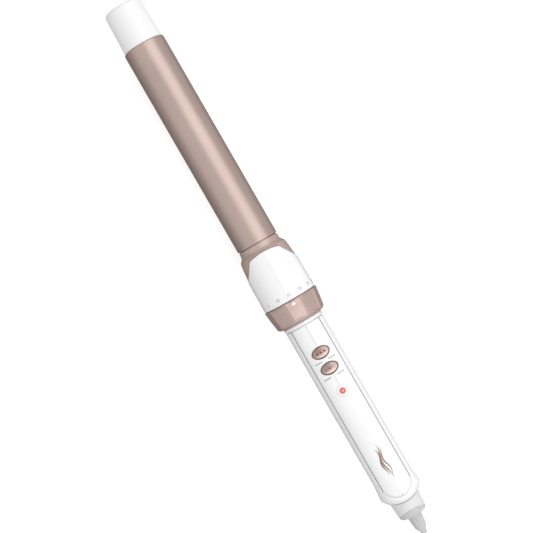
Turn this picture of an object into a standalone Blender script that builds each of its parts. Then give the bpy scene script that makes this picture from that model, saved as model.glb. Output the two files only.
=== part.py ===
"""A clipless curling iron lying on its back: barrel towards -X, cord end towards +X, buttons on top.

Every piece hangs on one empty that sits on the iron's long axis, so x runs along the iron and z is
a height above that axis. All dimensions below are millimetres. The origin is on the table under the
middle of the iron.
"""

import math

import bmesh
import bpy
from mathutils import Matrix, Vector

MM = 0.001
GAP = 0.3  # clearance between neighbouring pieces

# Whole iron
AXIS_HEIGHT = 17.0  # the axis above the table, which is the dial's radius
HALF_LENGTH = 174.8
ROUND = 32  # sides of a large turned piece
ROUND_SMALL = 16  # sides of a screw, pin or small boss

# Cool tip and barrel
BARREL_RADIUS = 12.7
BARREL_WALL = 1.0
BARREL_START = -149.0
BARREL_SHOULDER = -18.5  # where the barrel narrows to slip under the collar
BARREL_END = -9.0
BARREL_TAIL_RADIUS = 11.6
BARREL_TAIL_BORE = 10.8
BARREL_SCREW_X = -12.0
BARREL_SCREW = 0.8
BUSH_END = 5.2
BUSH_FLANGE = 12.6
BUSH_RADIUS = BARREL_TAIL_BORE - GAP
BUSH_BORE = 5.5
TIP_END_RADIUS = 9.5  # flat end of the cool tip
TIP_RADIUS = 12.1
TIP_SPIGOT_RADIUS = 11.4
TIP_SPIGOT_END = -142.3
TIP_BORE = 9.3
TIP_CAVITY_END = -171.8
TIP_BOSS = 3.2  # radius of the post that takes the tip screw
TIP_BOSS_END = -143.0
TIP_PILOT = 1.3
TIP_PILOT_END = -155.0
TIP_DISC = (-142.0, -139.4)  # ends of the insulator that the screw pulls against the spigot

# Heater stack, from the middle plane outwards
HEATER_START = -120.0
HEATER_END = -62.0
HEATER_HALF = 1.1
ELECTRODE_LOW = 1.35
ELECTRODE_HIGH = 1.75
ELECTRODE_END = -42.0
SHEET_LOW = 2.0
SHEET_HIGH = 2.3
SPREADER_FLAT = 2.55
SPREADER_RADIUS = 11.4
SPREADER_WALL = 1.5
SPREADER_START = -132.0
SPREADER_END = -52.0

# Collar, housing and counter stand
COLLAR_START = -18.1
COLLAR_END = -1.2
COLLAR_BORE = 13.0
COLLAR_COVERED_RADIUS = 13.8  # where the collar lies under the housing
HOUSING_END = 18.9
HOUSING_RADIUS = 16.4
HOUSING_BORE = 14.1
HOUSING_WALL_START = 17.0
SHIELD_TOP = -12.5
SHIELD_CORNER = (-11.2, 9.8)
SHIELD_FOOT = (-0.3, 16.3)
STAND_PIVOT = (12.5, 0.0, -13.6)
STAND_UNDERSIDE = -AXIS_HEIGHT
STAND_THICKNESS = 2.4
STAND_HALF_WIDTH = 5.0
STAND_FOOT_HALF_WIDTH = 9.0
STAND_TIP = -24.0
STAND_FOOT_START = -15.5
STAND_FOOT_CORNER = 2.5
STAND_KNUCKLE = 1.6
STAND_PIN = 0.7
STAND_PIN_ENDS = (-7.6, 6.6)  # the pin goes in through the housing's -Y side
STAND_RECESS_END = 16.5
BRACKET_START = 7.0
BRACKET_HALF_WIDTH = 7.2
BRACKET_LOW = -14.4

# Heat dial and its gears
DIAL_START = 19.2
DIAL_END = 32.8
DIAL_RADIUS = 17.0
DIAL_TAPER_END = (29.4, 15.8)
DIAL_BORE = 11.6
DIAL_COUNTERBORE = 14.5
DIAL_COUNTERBORE_END = 28.6
DIAL_PADS = 10
DIAL_GROOVE_WIDTH = 1.5
DIAL_GROOVE_DEPTH = 0.45
GEAR_MODULE = 0.7
RING_TEETH = 36
PINION_TEETH = 20
PRESSURE_ANGLE = math.radians(20)
ADDENDUM = 0.6
DEDENDUM = 0.8
TOOTH_THINNING = 0.12
PINION_HEIGHT = (RING_TEETH - PINION_TEETH) * GEAR_MODULE / 2
RING_GEAR_START = 23.3
RING_GEAR_END = 28.3
PINION_START = 23.9
PINION_END = 27.7
POT_SHAFT_RADIUS = 1.5
POT_SHAFT_ENDS = (22.0, 39.2)
POT_BODY = (37.6, 42.8)
POT_BODY_HALF = 3.4
POT_BUSHING_START = 33.0
POT_BUSHING = 2.9

# Handle
NECK_START = -4.7
NECK_RADIUS = 11.3
NECK_BORE = 9.5
NECK_RIB = (-0.4, 2.6)  # ends of the rib inside the neck that locks the barrel's bush
NECK_RIB_BORE = 7.9
NECK_FLAT = 10.6  # depth of the flat under the neck, which makes room for the stand's bracket
HANDLE_START = 35.3
HANDLE_RADIUS = 11.95
HANDLE_WALL = 2.0
HANDLE_END = 151.0  # where the saddle-shaped rim reaches, at its front and back
HANDLE_END_SIDE = 149.2  # where the rim is lowest, at its sides
HANDLE_END_RADIUS = 10.3
END_WALL_START = 144.0
END_HOLE = 5.6
END_POCKET_START = 148.6  # the pocket that the swivel sleeve's edge turns in
END_POCKET = 9.8
PARTING_HEIGHT = 4.2  # joint plane between the two handle shells
PANEL_START = 35.6
PANEL_STRAIGHT_END = 141.2
PANEL_END = 147.2
PANEL_HALF_WIDTH = 8.95
PANEL_THICKNESS = 1.0
TRIM_START = 33.1
TRIM_END = 35.0
TRIM_RADIUS = 12.2

# Controls
BUTTON_PLACES = {"turbo": 53.4, "power": 63.6}
BUTTON_HALF_X = 3.5
BUTTON_HALF_Y = 5.4
BUTTON_TOP = 12.6
BUTTON_FOOT = 8.2
BUTTON_FLANGE = (4.2, 3.5)  # half sizes of the flange that keeps a button in the shell
SWITCH_TOP = 6.6
PLUNGER_TOP = 7.2
LENS_X = 78.4
LENS_RADIUS = 1.6
LENS_TOP = 12.15

# Control board and fasteners
BOARD_START = 43.3
BOARD_END = 118.0
BOARD_HALF_WIDTH = 8.2
BOARD_LOW = 2.0
BOARD_HIGH = 3.6
HANDLE_SCREWS = (46.5, 102.0, 126.0)
BOARD_SCREWS = (69.0, 111.0)
FRONT_POST = 2.4
REAR_POST = 3.4
BOARD_POST = 2.2
POST_MEETING = -2.3
SCREW_SEAT = -6.5
POST_FOOT = -10.8  # the posts start inside the rear shell's wall
HANDLE_SCREW = 1.1
HANDLE_SCREW_HEAD = (1.4, 2.1)  # height and radius
BOARD_SCREW = 1.0
BOARD_SCREW_HEAD = (1.1, 1.8)

# Swivel and strain relief
SWIVEL_START = 149.0
SWIVEL_END = 159.9
SWIVEL_RADIUS = 9.45
SWIVEL_NECK = 5.2
SWIVEL_FLANGE = 7.5
SWIVEL_BORE = 3.3
SPINDLE_START = 129.5
SPINDLE_RADIUS = 3.0
SPINDLE_BORE = 1.7
RING_PLACES = {"live": 131.5, "neutral": 136.0}
RING_WIDTH = 2.5
RING_RADIUS = 4.4

# Outer profile of the handle behind the trim ring, as (x, radius)
HANDLE_PROFILE = [
    (HANDLE_START, HANDLE_RADIUS),
    (136.0, HANDLE_RADIUS),
    (141.0, 12.2),
    (146.4, 12.7),
    (147.5, 12.1),
    (148.7, 11.0),
    (HANDLE_END_SIDE, 10.75),
    (HANDLE_END, HANDLE_END_RADIUS),
]


# ----------------------------------------------------------------------------- scene and materials


def empty_scene():
    for obj in list(bpy.data.objects):
        bpy.data.objects.remove(obj, do_unlink=True)


def new_collection(name):
    collection = bpy.data.collections.new(name)
    bpy.context.scene.collection.children.link(collection)
    return collection


def new_material(name, colour, roughness, metallic=0.0):
    material = bpy.data.materials.new(name)
    material.use_nodes = True
    material.diffuse_color = (*colour, 1.0)
    shader = material.node_tree.nodes["Principled BSDF"]
    shader.inputs["Base Color"].default_value = (*colour, 1.0)
    shader.inputs["Roughness"].default_value = roughness
    shader.inputs["Metallic"].default_value = metallic
    return material


empty_scene()
PARTS = new_collection("curling_iron")
CUTTERS = new_collection("cutters")
ROSE_GOLD = new_material("rose_gold", (0.66, 0.47, 0.42), 0.35, 0.9)
ROSE_COATING = new_material("rose_coating", (0.62, 0.45, 0.40), 0.45, 0.3)
WHITE_GLOSS = new_material("white_gloss", (0.90, 0.90, 0.90), 0.18)
WHITE_SATIN = new_material("white_satin", (0.88, 0.88, 0.88), 0.45)
GREY_PLASTIC = new_material("grey_plastic", (0.66, 0.67, 0.68), 0.5)
GREY_RUBBER = new_material("grey_rubber", (0.52, 0.53, 0.54), 0.65)
PHENOLIC = new_material("phenolic", (0.10, 0.07, 0.05), 0.6)
ALUMINIUM = new_material("aluminium", (0.80, 0.81, 0.82), 0.35, 1.0)
STEEL = new_material("steel", (0.60, 0.60, 0.61), 0.3, 1.0)
BRASS = new_material("brass", (0.78, 0.60, 0.28), 0.3, 1.0)
CERAMIC = new_material("ceramic", (0.85, 0.83, 0.78), 0.7)
MICA = new_material("mica", (0.75, 0.66, 0.45), 0.4)
BOARD_GREEN = new_material("board_green", (0.04, 0.25, 0.12), 0.5)
BLACK_PLASTIC = new_material("black_plastic", (0.02, 0.02, 0.02), 0.5)
NYLON = new_material("nylon", (0.80, 0.78, 0.72), 0.5)
RED_LENS = new_material("red_lens", (0.80, 0.03, 0.03), 0.15)
FILM_YELLOW = new_material("film_yellow", (0.80, 0.62, 0.10), 0.45)
LEAD_RED = new_material("lead_red", (0.55, 0.05, 0.04), 0.5)
LEAD_WHITE = new_material("lead_white", (0.80, 0.80, 0.78), 0.5)

AXIS = bpy.data.objects.new("iron_axis", None)
AXIS.location = (0.0, 0.0, AXIS_HEIGHT * MM)
PARTS.objects.link(AXIS)


# --------------------------------------------------------------------------------- building blocks


def add_object(name, data, material=None, at=(0.0, 0.0, 0.0), turn=(0.0, 0.0, 0.0)):
    """Links an object under the iron's axis. Without a material it is a cutter."""
    obj = bpy.data.objects.new(name, data)
    obj.parent = AXIS
    obj.location = Vector(at) * MM
    obj.rotation_euler = turn
    if material:
        obj.data.materials.append(material)
        PARTS.objects.link(obj)
    else:
        CUTTERS.objects.link(obj)
        obj.hide_render = True
        obj.display_type = "WIRE"
    return obj


ALONG = {
    "X": (0.0, math.pi / 2, 0.0),
    "Y": (-math.pi / 2, 0.0, 0.0),
    "Z": (0.0, 0.0, 0.0),
}


def shade(mesh):
    mesh.shade_smooth()
    mesh.set_sharp_from_angle(angle=math.radians(35))


def turned(name, profile, material=None, at=(0.0, 0.0, 0.0), along="X", steps=ROUND):
    """A turned solid from (position, radius) points.

    They run down the outer side from the far end, and back up the inner side. A profile that starts
    on the axis is solid in the middle, and any other is closed into a ring.
    """
    mesh = bpy.data.meshes.new(name)
    count = len(profile)
    is_ring = profile[0][1] > 0
    edges = [(i, (i + 1) % count) for i in range(count if is_ring else count - 1)]
    mesh.from_pydata([(r * MM, 0.0, x * MM) for x, r in profile], edges, [])
    obj = add_object(name, mesh, material, at, ALONG[along])
    screw = obj.modifiers.new("turn", "SCREW")
    screw.axis = "Z"
    screw.steps = steps
    screw.render_steps = steps
    screw.use_merge_vertices = True
    screw.merge_threshold = 0.00001
    screw.use_smooth_shade = True
    return obj


def tube(name, start, end, radius, bore, material=None, at=(0.0, 0.0, 0.0), along="X", steps=ROUND):
    profile = [(end, radius), (start, radius), (start, bore), (end, bore)]
    return turned(name, profile, material, at, along, steps)


def rod(name, start, end, radius, material=None, at=(0.0, 0.0, 0.0), along="X", steps=ROUND_SMALL, wide=1.0):
    """A cylinder along an axis, made wide times as wide along its own Y for an oval."""
    mesh = bpy.data.meshes.new(name)
    body = bmesh.new()
    middle = Matrix.Translation((0.0, 0.0, (start + end) / 2 * MM))
    bmesh.ops.create_cone(
        body,
        cap_ends=True,
        segments=steps,
        radius1=radius * MM,
        radius2=radius * MM,
        depth=(end - start) * MM,
        matrix=middle @ Matrix.Diagonal((1.0, wide, 1.0, 1.0)),
    )
    body.to_mesh(mesh)
    body.free()
    shade(mesh)
    return add_object(name, mesh, material, at, ALONG[along])


def box(name, low, high, material=None, at=(0.0, 0.0, 0.0)):
    mesh = bpy.data.meshes.new(name)
    body = bmesh.new()
    size = (Vector(high) - Vector(low)) * MM
    middle = Matrix.Translation((Vector(high) + Vector(low)) / 2 * MM)
    bmesh.ops.create_cube(body, size=1.0, matrix=middle @ Matrix.Diagonal((*size, 1.0)))
    body.to_mesh(mesh)
    body.free()
    return add_object(name, mesh, material, at)


def outline(name, loops, start, end, material=None, at=(0.0, 0.0, 0.0), along="Z"):
    """A flat outline with any holes, made solid from start to end along an axis, as a mesh.

    Along Z the points are (x, y), along X they are (y, z), and along Y they are (x, -z).
    """
    curve = bpy.data.curves.new(name, "CURVE")
    curve.dimensions = "2D"
    curve.fill_mode = "BOTH"
    curve.extrude = (end - start) / 2 * MM
    for loop in loops:
        spline = curve.splines.new("POLY")
        spline.points.add(len(loop) - 1)
        for point, (a, b) in zip(spline.points, loop):
            flat = (-b, a) if along == "X" else (a, b)
            point.co = (flat[0] * MM, flat[1] * MM, 0.0, 1.0)
        spline.use_cyclic_u = True
    guide = bpy.data.objects.new(name, curve)
    PARTS.objects.link(guide)
    graph = bpy.context.evaluated_depsgraph_get()
    mesh = bpy.data.meshes.new_from_object(guide.evaluated_get(graph))
    bpy.data.objects.remove(guide, do_unlink=True)
    body = bmesh.new()
    body.from_mesh(mesh)
    bmesh.ops.translate(body, verts=body.verts, vec=(0.0, 0.0, (start + end) / 2 * MM))
    bmesh.ops.remove_doubles(body, verts=body.verts, dist=0.000001)
    bmesh.ops.recalc_face_normals(body, faces=body.faces)
    body.to_mesh(mesh)
    body.free()
    return add_object(name, mesh, material, at, ALONG[along])


def smooth_route(places, per_span=3):
    """Points on a Catmull-Rom curve through the places."""
    ends = [2 * Vector(places[0]) - Vector(places[1])]
    ends += [Vector(place) for place in places]
    ends += [2 * Vector(places[-1]) - Vector(places[-2])]
    points = []
    for a, b, c, d in zip(ends, ends[1:], ends[2:], ends[3:]):
        for step in range(per_span):
            t = step / per_span
            bend = (2 * a - 5 * b + 4 * c - d) * t**2 + (3 * (b - c) + d - a) * t**3
            points.append(0.5 * (2 * b + (c - a) * t + bend))
    return points + [Vector(places[-1])]


def wire(name, places, radius, material):
    """A lead of round section along a smooth route."""
    curve = bpy.data.curves.new(name, "CURVE")
    curve.dimensions = "3D"
    curve.bevel_depth = radius * MM
    curve.bevel_resolution = 1
    curve.use_fill_caps = True
    points = smooth_route(places)
    spline = curve.splines.new("POLY")
    spline.points.add(len(points) - 1)
    for point, place in zip(spline.points, points):
        point.co = (*place * MM, 1.0)
    return add_object(name, curve, material)


def screw(name, seat, tip, radius, head, at=(0.0, 0.0, 0.0), along="X"):
    """A screw from the seat of its head to its tip. The head is (height, radius), off the tip's side."""
    height, wide = head
    away = height if seat > tip else -height
    profile = [(seat + away, 0.0), (seat + away, 0.85 * wide), (seat, wide), (seat, radius)]
    profile += [(tip, radius), (tip, 0.0)]
    if seat < tip:
        profile.reverse()
    return turned(name, profile, STEEL, at, along, steps=12)


def cut(obj, cutter, operation="DIFFERENCE"):
    modifier = obj.modifiers.new(cutter.name, "BOOLEAN")
    modifier.operation = operation
    modifier.object = cutter
    modifier.solver = "EXACT"
    return obj


def join(obj, tool):
    return cut(obj, tool, "UNION")


def soften(obj, width, segments=2, angle=50):
    bevel = obj.modifiers.new("edges", "BEVEL")
    bevel.width = width * MM
    bevel.segments = segments
    bevel.limit_method = "ANGLE"
    bevel.angle_limit = math.radians(angle)
    return obj


def arc(radius, start, end, steps, centre=(0.0, 0.0)):
    """Points on an arc, with angles in degrees."""
    angles = [math.radians(start + (end - start) * i / steps) for i in range(steps + 1)]
    return [(centre[0] + radius * math.cos(a), centre[1] + radius * math.sin(a)) for a in angles]


# ----------------------------------------------------------------------------- cool tip and barrel


def make_tip():
    turned(
        "cool_tip",
        [
            (TIP_PILOT_END, 0.0),
            (TIP_PILOT_END, TIP_PILOT),
            (TIP_BOSS_END, TIP_PILOT),
            (TIP_BOSS_END, TIP_BOSS),
            (TIP_CAVITY_END, TIP_BOSS),
            (TIP_CAVITY_END, TIP_BORE),
            (TIP_SPIGOT_END, TIP_BORE),
            (TIP_SPIGOT_END, TIP_SPIGOT_RADIUS),
            (BARREL_START - GAP, TIP_SPIGOT_RADIUS),
            (BARREL_START - GAP, TIP_RADIUS),
            (-172.8, 11.5),
            (-174.2, 10.8),
            (-HALF_LENGTH, TIP_END_RADIUS),
            (-HALF_LENGTH, 0.0),
        ],
        WHITE_SATIN,
    )
    tube("tip_insulator", *TIP_DISC, TIP_SPIGOT_RADIUS, TIP_PILOT + GAP, PHENOLIC, steps=24)
    screw("tip_screw", TIP_DISC[1] + GAP, -151.0, TIP_PILOT - GAP, (1.3, 2.8))


def make_barrel():
    inner = BARREL_RADIUS - BARREL_WALL
    barrel = turned(
        "barrel",
        [
            (BARREL_END, BARREL_TAIL_RADIUS),
            (BARREL_SHOULDER + 0.1, BARREL_TAIL_RADIUS),
            (BARREL_SHOULDER - 0.2, BARREL_RADIUS),
            (BARREL_START, BARREL_RADIUS),
            (BARREL_START, inner),
            (BARREL_SHOULDER - 2.0, inner),
            (BARREL_SHOULDER - 1.0, BARREL_TAIL_BORE),
            (BARREL_END, BARREL_TAIL_BORE),
        ],
        ROSE_COATING,
    )
    bush = turned(
        "barrel_base_bush",
        [
            (BUSH_END, NECK_BORE - GAP),
            (NECK_RIB[1] + GAP, NECK_BORE - GAP),
            (NECK_RIB[1] + GAP, NECK_RIB_BORE - GAP),
            (NECK_START - GAP, NECK_RIB_BORE - GAP),
            (NECK_START - GAP, BUSH_FLANGE),
            (BARREL_END + GAP, BUSH_FLANGE),
            (BARREL_END + GAP, BUSH_RADIUS),
            (-34.0, BUSH_RADIUS),
            (-34.0, BUSH_BORE),
            (BUSH_END, BUSH_BORE),
        ],
        PHENOLIC,
        steps=24,
    )
    spot = (BARREL_SCREW_X, 0.0, 0.0)
    hole = rod("barrel_screw_hole", -16.0, 16.0, BARREL_SCREW + GAP, at=spot, along="Y")
    cut(barrel, hole)
    cut(bush, hole)
    for number, side in ((1, 1), (2, -1)):
        seat = BARREL_TAIL_RADIUS + GAP
        fastener = screw(f"barrel_screw_{number}", seat, 7.4, BARREL_SCREW, (0.6, 1.6), at=spot)
        fastener.rotation_euler = (-side * math.pi / 2, 0.0, 0.0)


def make_heater():
    def spreader_loop(radius, flat, side):
        edge = math.degrees(math.asin(flat / radius))
        return [(y, side * z) for y, z in arc(radius, edge, 180 - edge, 18)]

    loops = {
        side: [
            spreader_loop(SPREADER_RADIUS, SPREADER_FLAT, side),
            spreader_loop(SPREADER_RADIUS - SPREADER_WALL, SPREADER_FLAT + SPREADER_WALL, side),
        ]
        for side in (1, -1)
    }
    for name, side in (("upper", 1), ("lower", -1)):
        outline(f"heat_spreader_{name}", loops[side], SPREADER_START, SPREADER_END, ALUMINIUM, along="X")
        box(
            f"heater_electrode_{name}",
            (HEATER_START, -6.0, min(side * ELECTRODE_LOW, side * ELECTRODE_HIGH)),
            (ELECTRODE_END, 6.0, max(side * ELECTRODE_LOW, side * ELECTRODE_HIGH)),
            BRASS,
        )
        box(
            f"heater_sheet_{name}",
            (HEATER_START - 4.0, -7.5, min(side * SHEET_LOW, side * SHEET_HIGH)),
            (SPREADER_END - 2.0, 7.5, max(side * SHEET_LOW, side * SHEET_HIGH)),
            MICA,
        )
    box("ceramic_heater", (HEATER_START, -6.5, -HEATER_HALF), (HEATER_END, 6.5, HEATER_HALF), CERAMIC)
    rod("thermistor", -51.5, -46.0, 1.2, BLACK_PLASTIC, at=(0.0, 0.0, 9.6))
    rod("thermal_fuse", -76.0, -63.0, 1.9, STEEL, at=(0.0, 0.0, -6.8))


# --------------------------------------------------------------- collar, housing and counter stand


def shield_outline(grown):
    """Plan of the housing's shield: a bowed top edge, two corners, and slanting sides down to the feet."""
    side = [
        (SHIELD_TOP - grown, 0.0),
        (SHIELD_TOP + 0.35 - grown, 5.2),
        (SHIELD_CORNER[0] - grown, SHIELD_CORNER[1] + 0.6 * grown),
        (SHIELD_FOOT[0] - grown, SHIELD_FOOT[1] + grown),
        (SHIELD_FOOT[0] - grown, 22.0),
        (30.0, 22.0),
    ]
    return side + [(x, -y) for x, y in reversed(side[1:])]


def make_housing():
    collar = turned(
        "neck_collar",
        [
            (COLLAR_END, 15.8),
            (-9.2, 15.0),
            (-11.8, 14.7),
            (-13.2, 14.2),
            (-14.6, 13.2),
            (-15.5, 12.5),
            (COLLAR_START, 12.5),
            (COLLAR_START, 11.9),
            (-15.0, 11.9),
            (-14.6, COLLAR_BORE),
            (COLLAR_END, COLLAR_BORE),
        ],
        ROSE_GOLD,
    )
    cover = tube("collar_cover_cut", SHIELD_TOP - 2.0, 4.0, 24.0, COLLAR_COVERED_RADIUS)
    cut(cover, outline("collar_cover_plan", [shield_outline(GAP)], -30.0, 30.0), "INTERSECT")
    cut(collar, cover)
    housing = turned(
        "scale_housing",
        [
            (HOUSING_END, HOUSING_RADIUS),
            (3.0, 16.25),
            (-1.7, 16.1),
            (-8.0, 15.55),
            (-14.0, 15.0),
            (-14.0, HOUSING_BORE),
            (HOUSING_WALL_START, HOUSING_BORE),
            (HOUSING_WALL_START, NECK_RADIUS + GAP),
            (HOUSING_END, NECK_RADIUS + GAP),
        ],
        WHITE_GLOSS,
    )
    cut(housing, outline("housing_plan", [shield_outline(0.0)], -30.0, 30.0), "INTERSECT")
    bracket_high = (HOUSING_WALL_START + 0.5, BRACKET_HALF_WIDTH, -NECK_FLAT - GAP)
    join(housing, box("stand_bracket", (BRACKET_START, -BRACKET_HALF_WIDTH, BRACKET_LOW), bracket_high))
    side = STAND_HALF_WIDTH + GAP
    leg_top = STAND_UNDERSIDE + STAND_THICKNESS + GAP
    recess = box("stand_recess", (-40.0, -side, -30.0), (STAND_RECESS_END, side, leg_top))
    knuckle_high = (STAND_RECESS_END, side, STAND_PIVOT[2] + STAND_KNUCKLE + GAP)
    join(recess, box("stand_knuckle_recess", (9.5, -side, -20.0), knuckle_high))
    pin_hole = rod("pin_hole", -12.0, STAND_PIN_ENDS[1] + GAP, STAND_PIN + GAP, at=STAND_PIVOT, along="Y")
    cut(collar, recess)
    cut(housing, recess)
    cut(housing, pin_hole)


def make_stand():
    """The leg's origin is on its hinge pin, and it folds forward against the housing."""
    foot = STAND_FOOT_START - STAND_PIVOT[0]
    side = [(1.0, STAND_HALF_WIDTH), (foot, STAND_HALF_WIDTH), (foot - 2.0, STAND_FOOT_HALF_WIDTH)]
    centre_x = STAND_TIP - STAND_PIVOT[0] + STAND_FOOT_CORNER
    side += arc(STAND_FOOT_CORNER, 90, 180, 4, (centre_x, STAND_FOOT_HALF_WIDTH - STAND_FOOT_CORNER))
    loop = side + [(x, -y) for x, y in reversed(side)]
    low = STAND_UNDERSIDE - STAND_PIVOT[2]
    stand = outline("counter_stand", [loop], low, low + STAND_THICKNESS, GREY_PLASTIC, at=STAND_PIVOT)
    width = STAND_HALF_WIDTH
    join(stand, rod("stand_knuckle", -width, width, STAND_KNUCKLE, at=STAND_PIVOT, along="Y"))
    cut(stand, rod("stand_bore", -width - 1, width + 1, STAND_PIN + GAP, at=STAND_PIVOT, along="Y"))
    rod("stand_hinge_pin", *STAND_PIN_ENDS, STAND_PIN, STEEL, at=STAND_PIVOT, along="Y")


# ---------------------------------------------------------------------------------- dial and gears


def tooth_half_angle(teeth, radius, thinning):
    """Half the angle that an involute tooth fills at a radius."""
    pitch = teeth * GEAR_MODULE / 2
    base = pitch * math.cos(PRESSURE_ANGLE)
    at_radius = math.acos(min(1.0, base / radius))
    spread = (math.tan(PRESSURE_ANGLE) - PRESSURE_ANGLE) - (math.tan(at_radius) - at_radius)
    return math.pi / (2 * teeth) + spread - thinning / (2 * pitch)


def gear_loop(teeth, radii, thinning):
    """Outline of a gear whose teeth rise, and fall, through the radii. A ring gear's gaps are such teeth."""
    flank = [(r, tooth_half_angle(teeth, r, thinning)) for r in radii]
    points = []
    for tooth in range(teeth):
        middle = 2 * math.pi * tooth / teeth
        for radius, half in flank:
            points.append((radius * math.cos(middle - half), radius * math.sin(middle - half)))
        for radius, half in reversed(flank):
            points.append((radius * math.cos(middle + half), radius * math.sin(middle + half)))
    return points


def make_dial():
    dial = turned(
        "heat_dial",
        [
            (DIAL_END, 12.1),
            (32.1, 13.6),
            (30.9, 15.3),
            DIAL_TAPER_END,
            (24.8, 16.4),
            (DIAL_START, DIAL_RADIUS),
            (DIAL_START, DIAL_COUNTERBORE),
            (DIAL_COUNTERBORE_END, DIAL_COUNTERBORE),
            (DIAL_COUNTERBORE_END, DIAL_BORE),
            (DIAL_END, DIAL_BORE),
        ],
        ROSE_GOLD,
    )
    grooves = bpy.data.meshes.new("dial_grooves")
    body = bmesh.new()
    # The grooves follow the dial's taper, so each cutter leans with it.
    end_x, end_radius = DIAL_TAPER_END
    lean = math.atan2(DIAL_RADIUS - end_radius, end_x - DIAL_START)
    middle = (DIAL_START + end_x) / 2
    floor = (DIAL_RADIUS + end_radius) / 2 - DIAL_GROOVE_DEPTH
    tall = 3.0
    for pad in range(DIAL_PADS):
        turn = Matrix.Rotation(2 * math.pi * (pad + 0.5) / DIAL_PADS, 4, "X")
        centre = Vector((middle, 0.0, floor + tall / 2)) * MM
        place = Matrix.Translation(centre) @ Matrix.Rotation(lean, 4, "Y")
        size = Matrix.Diagonal((30.0 * MM, DIAL_GROOVE_WIDTH * MM, tall * MM, 1.0))
        bmesh.ops.create_cube(body, size=1.0, matrix=turn @ place @ size)
    body.to_mesh(grooves)
    body.free()
    cut(dial, add_object("dial_grooves", grooves))
    pitch = RING_TEETH * GEAR_MODULE / 2
    gaps = gear_loop(RING_TEETH, (pitch - ADDENDUM, pitch, pitch + DEDENDUM), -TOOTH_THINNING)
    rim = arc(DIAL_COUNTERBORE - GAP, 0, 360 - 360 / ROUND, ROUND - 1)
    outline("dial_ring_gear", [rim, gaps], RING_GEAR_START, RING_GEAR_END, NYLON, along="X")
    tube("dial_friction_washer", 20.0, 20.4, 14.1, 11.8, BRASS, steps=24)
    tube("dial_trim_ring", TRIM_START, TRIM_END, TRIM_RADIUS, NECK_RADIUS + GAP, WHITE_GLOSS)


def make_pinion():
    """The pinion and the potentiometer's shaft turn together, on a shaft above the iron's axis."""
    shaft = (0.0, 0.0, PINION_HEIGHT)
    pitch = PINION_TEETH * GEAR_MODULE / 2
    teeth = gear_loop(PINION_TEETH, (pitch - DEDENDUM, pitch, pitch + ADDENDUM), TOOTH_THINNING)
    bore = arc(POT_SHAFT_RADIUS + GAP, 0, 337.5, 15)
    outline("dial_pinion", [teeth, bore], PINION_START, PINION_END, NYLON, at=shaft, along="X")
    rod("potentiometer_shaft", *POT_SHAFT_ENDS, POT_SHAFT_RADIUS, STEEL, at=shaft)
    half = POT_BODY_HALF
    low, high = (POT_BODY[0], -half, -half), (POT_BODY[1], half, half)
    body = box("potentiometer", low, high, BLACK_PLASTIC, at=shaft)
    join(body, rod("potentiometer_bushing", POT_BUSHING_START, POT_BODY[0] + 0.4, POT_BUSHING, at=shaft))
    bore_end = POT_SHAFT_ENDS[1] + GAP
    cut(body, rod("potentiometer_bore", POT_BUSHING_START - 1, bore_end, POT_SHAFT_RADIUS + GAP, at=shaft))


# ------------------------------------------------------------------------------------------ handle


def handle_tube(name, material):
    """The handle's full round shell. Its neck reaches forward through the dial and the housing."""
    inner = HANDLE_RADIUS - HANDLE_WALL
    outside = list(reversed(HANDLE_PROFILE))
    neck = [(HANDLE_START, NECK_RADIUS), (NECK_START, NECK_RADIUS)]
    inside = [
        (NECK_START, NECK_BORE),
        (NECK_RIB[0], NECK_BORE),
        (NECK_RIB[0], NECK_RIB_BORE),
        (NECK_RIB[1], NECK_RIB_BORE),
        (NECK_RIB[1], NECK_BORE),
        (35.0, NECK_BORE),
        (36.5, inner),
        (END_WALL_START, inner),
        (END_WALL_START, END_HOLE),
        (END_POCKET_START, END_HOLE),
        (END_POCKET_START, END_POCKET),
        (HANDLE_END, END_POCKET),
    ]
    return turned(name, outside + neck + inside, material)


def panel_plan(grown):
    """Plan of the control panel: straight sides and a rounded end. It starts ahead of the handle."""
    half = PANEL_HALF_WIDTH + grown
    length = PANEL_END - PANEL_STRAIGHT_END + grown
    rounded = [(PANEL_STRAIGHT_END + length * x, half * y) for x, y in arc(1.0, -90, 90, 10)]
    return [(NECK_START, -half)] + rounded + [(NECK_START, half)]


def panel_ring(name, start, sink, rise, material=None):
    """A sleeve that follows the handle's outside, from sink below it to rise above it."""
    profile = [(start, HANDLE_RADIUS)] + HANDLE_PROFILE[1:-1]
    top = [(x, r + rise) for x, r in reversed(profile)]
    bottom = [(x, r - sink) for x, r in profile]
    return turned(name, top + bottom, material)


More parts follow.
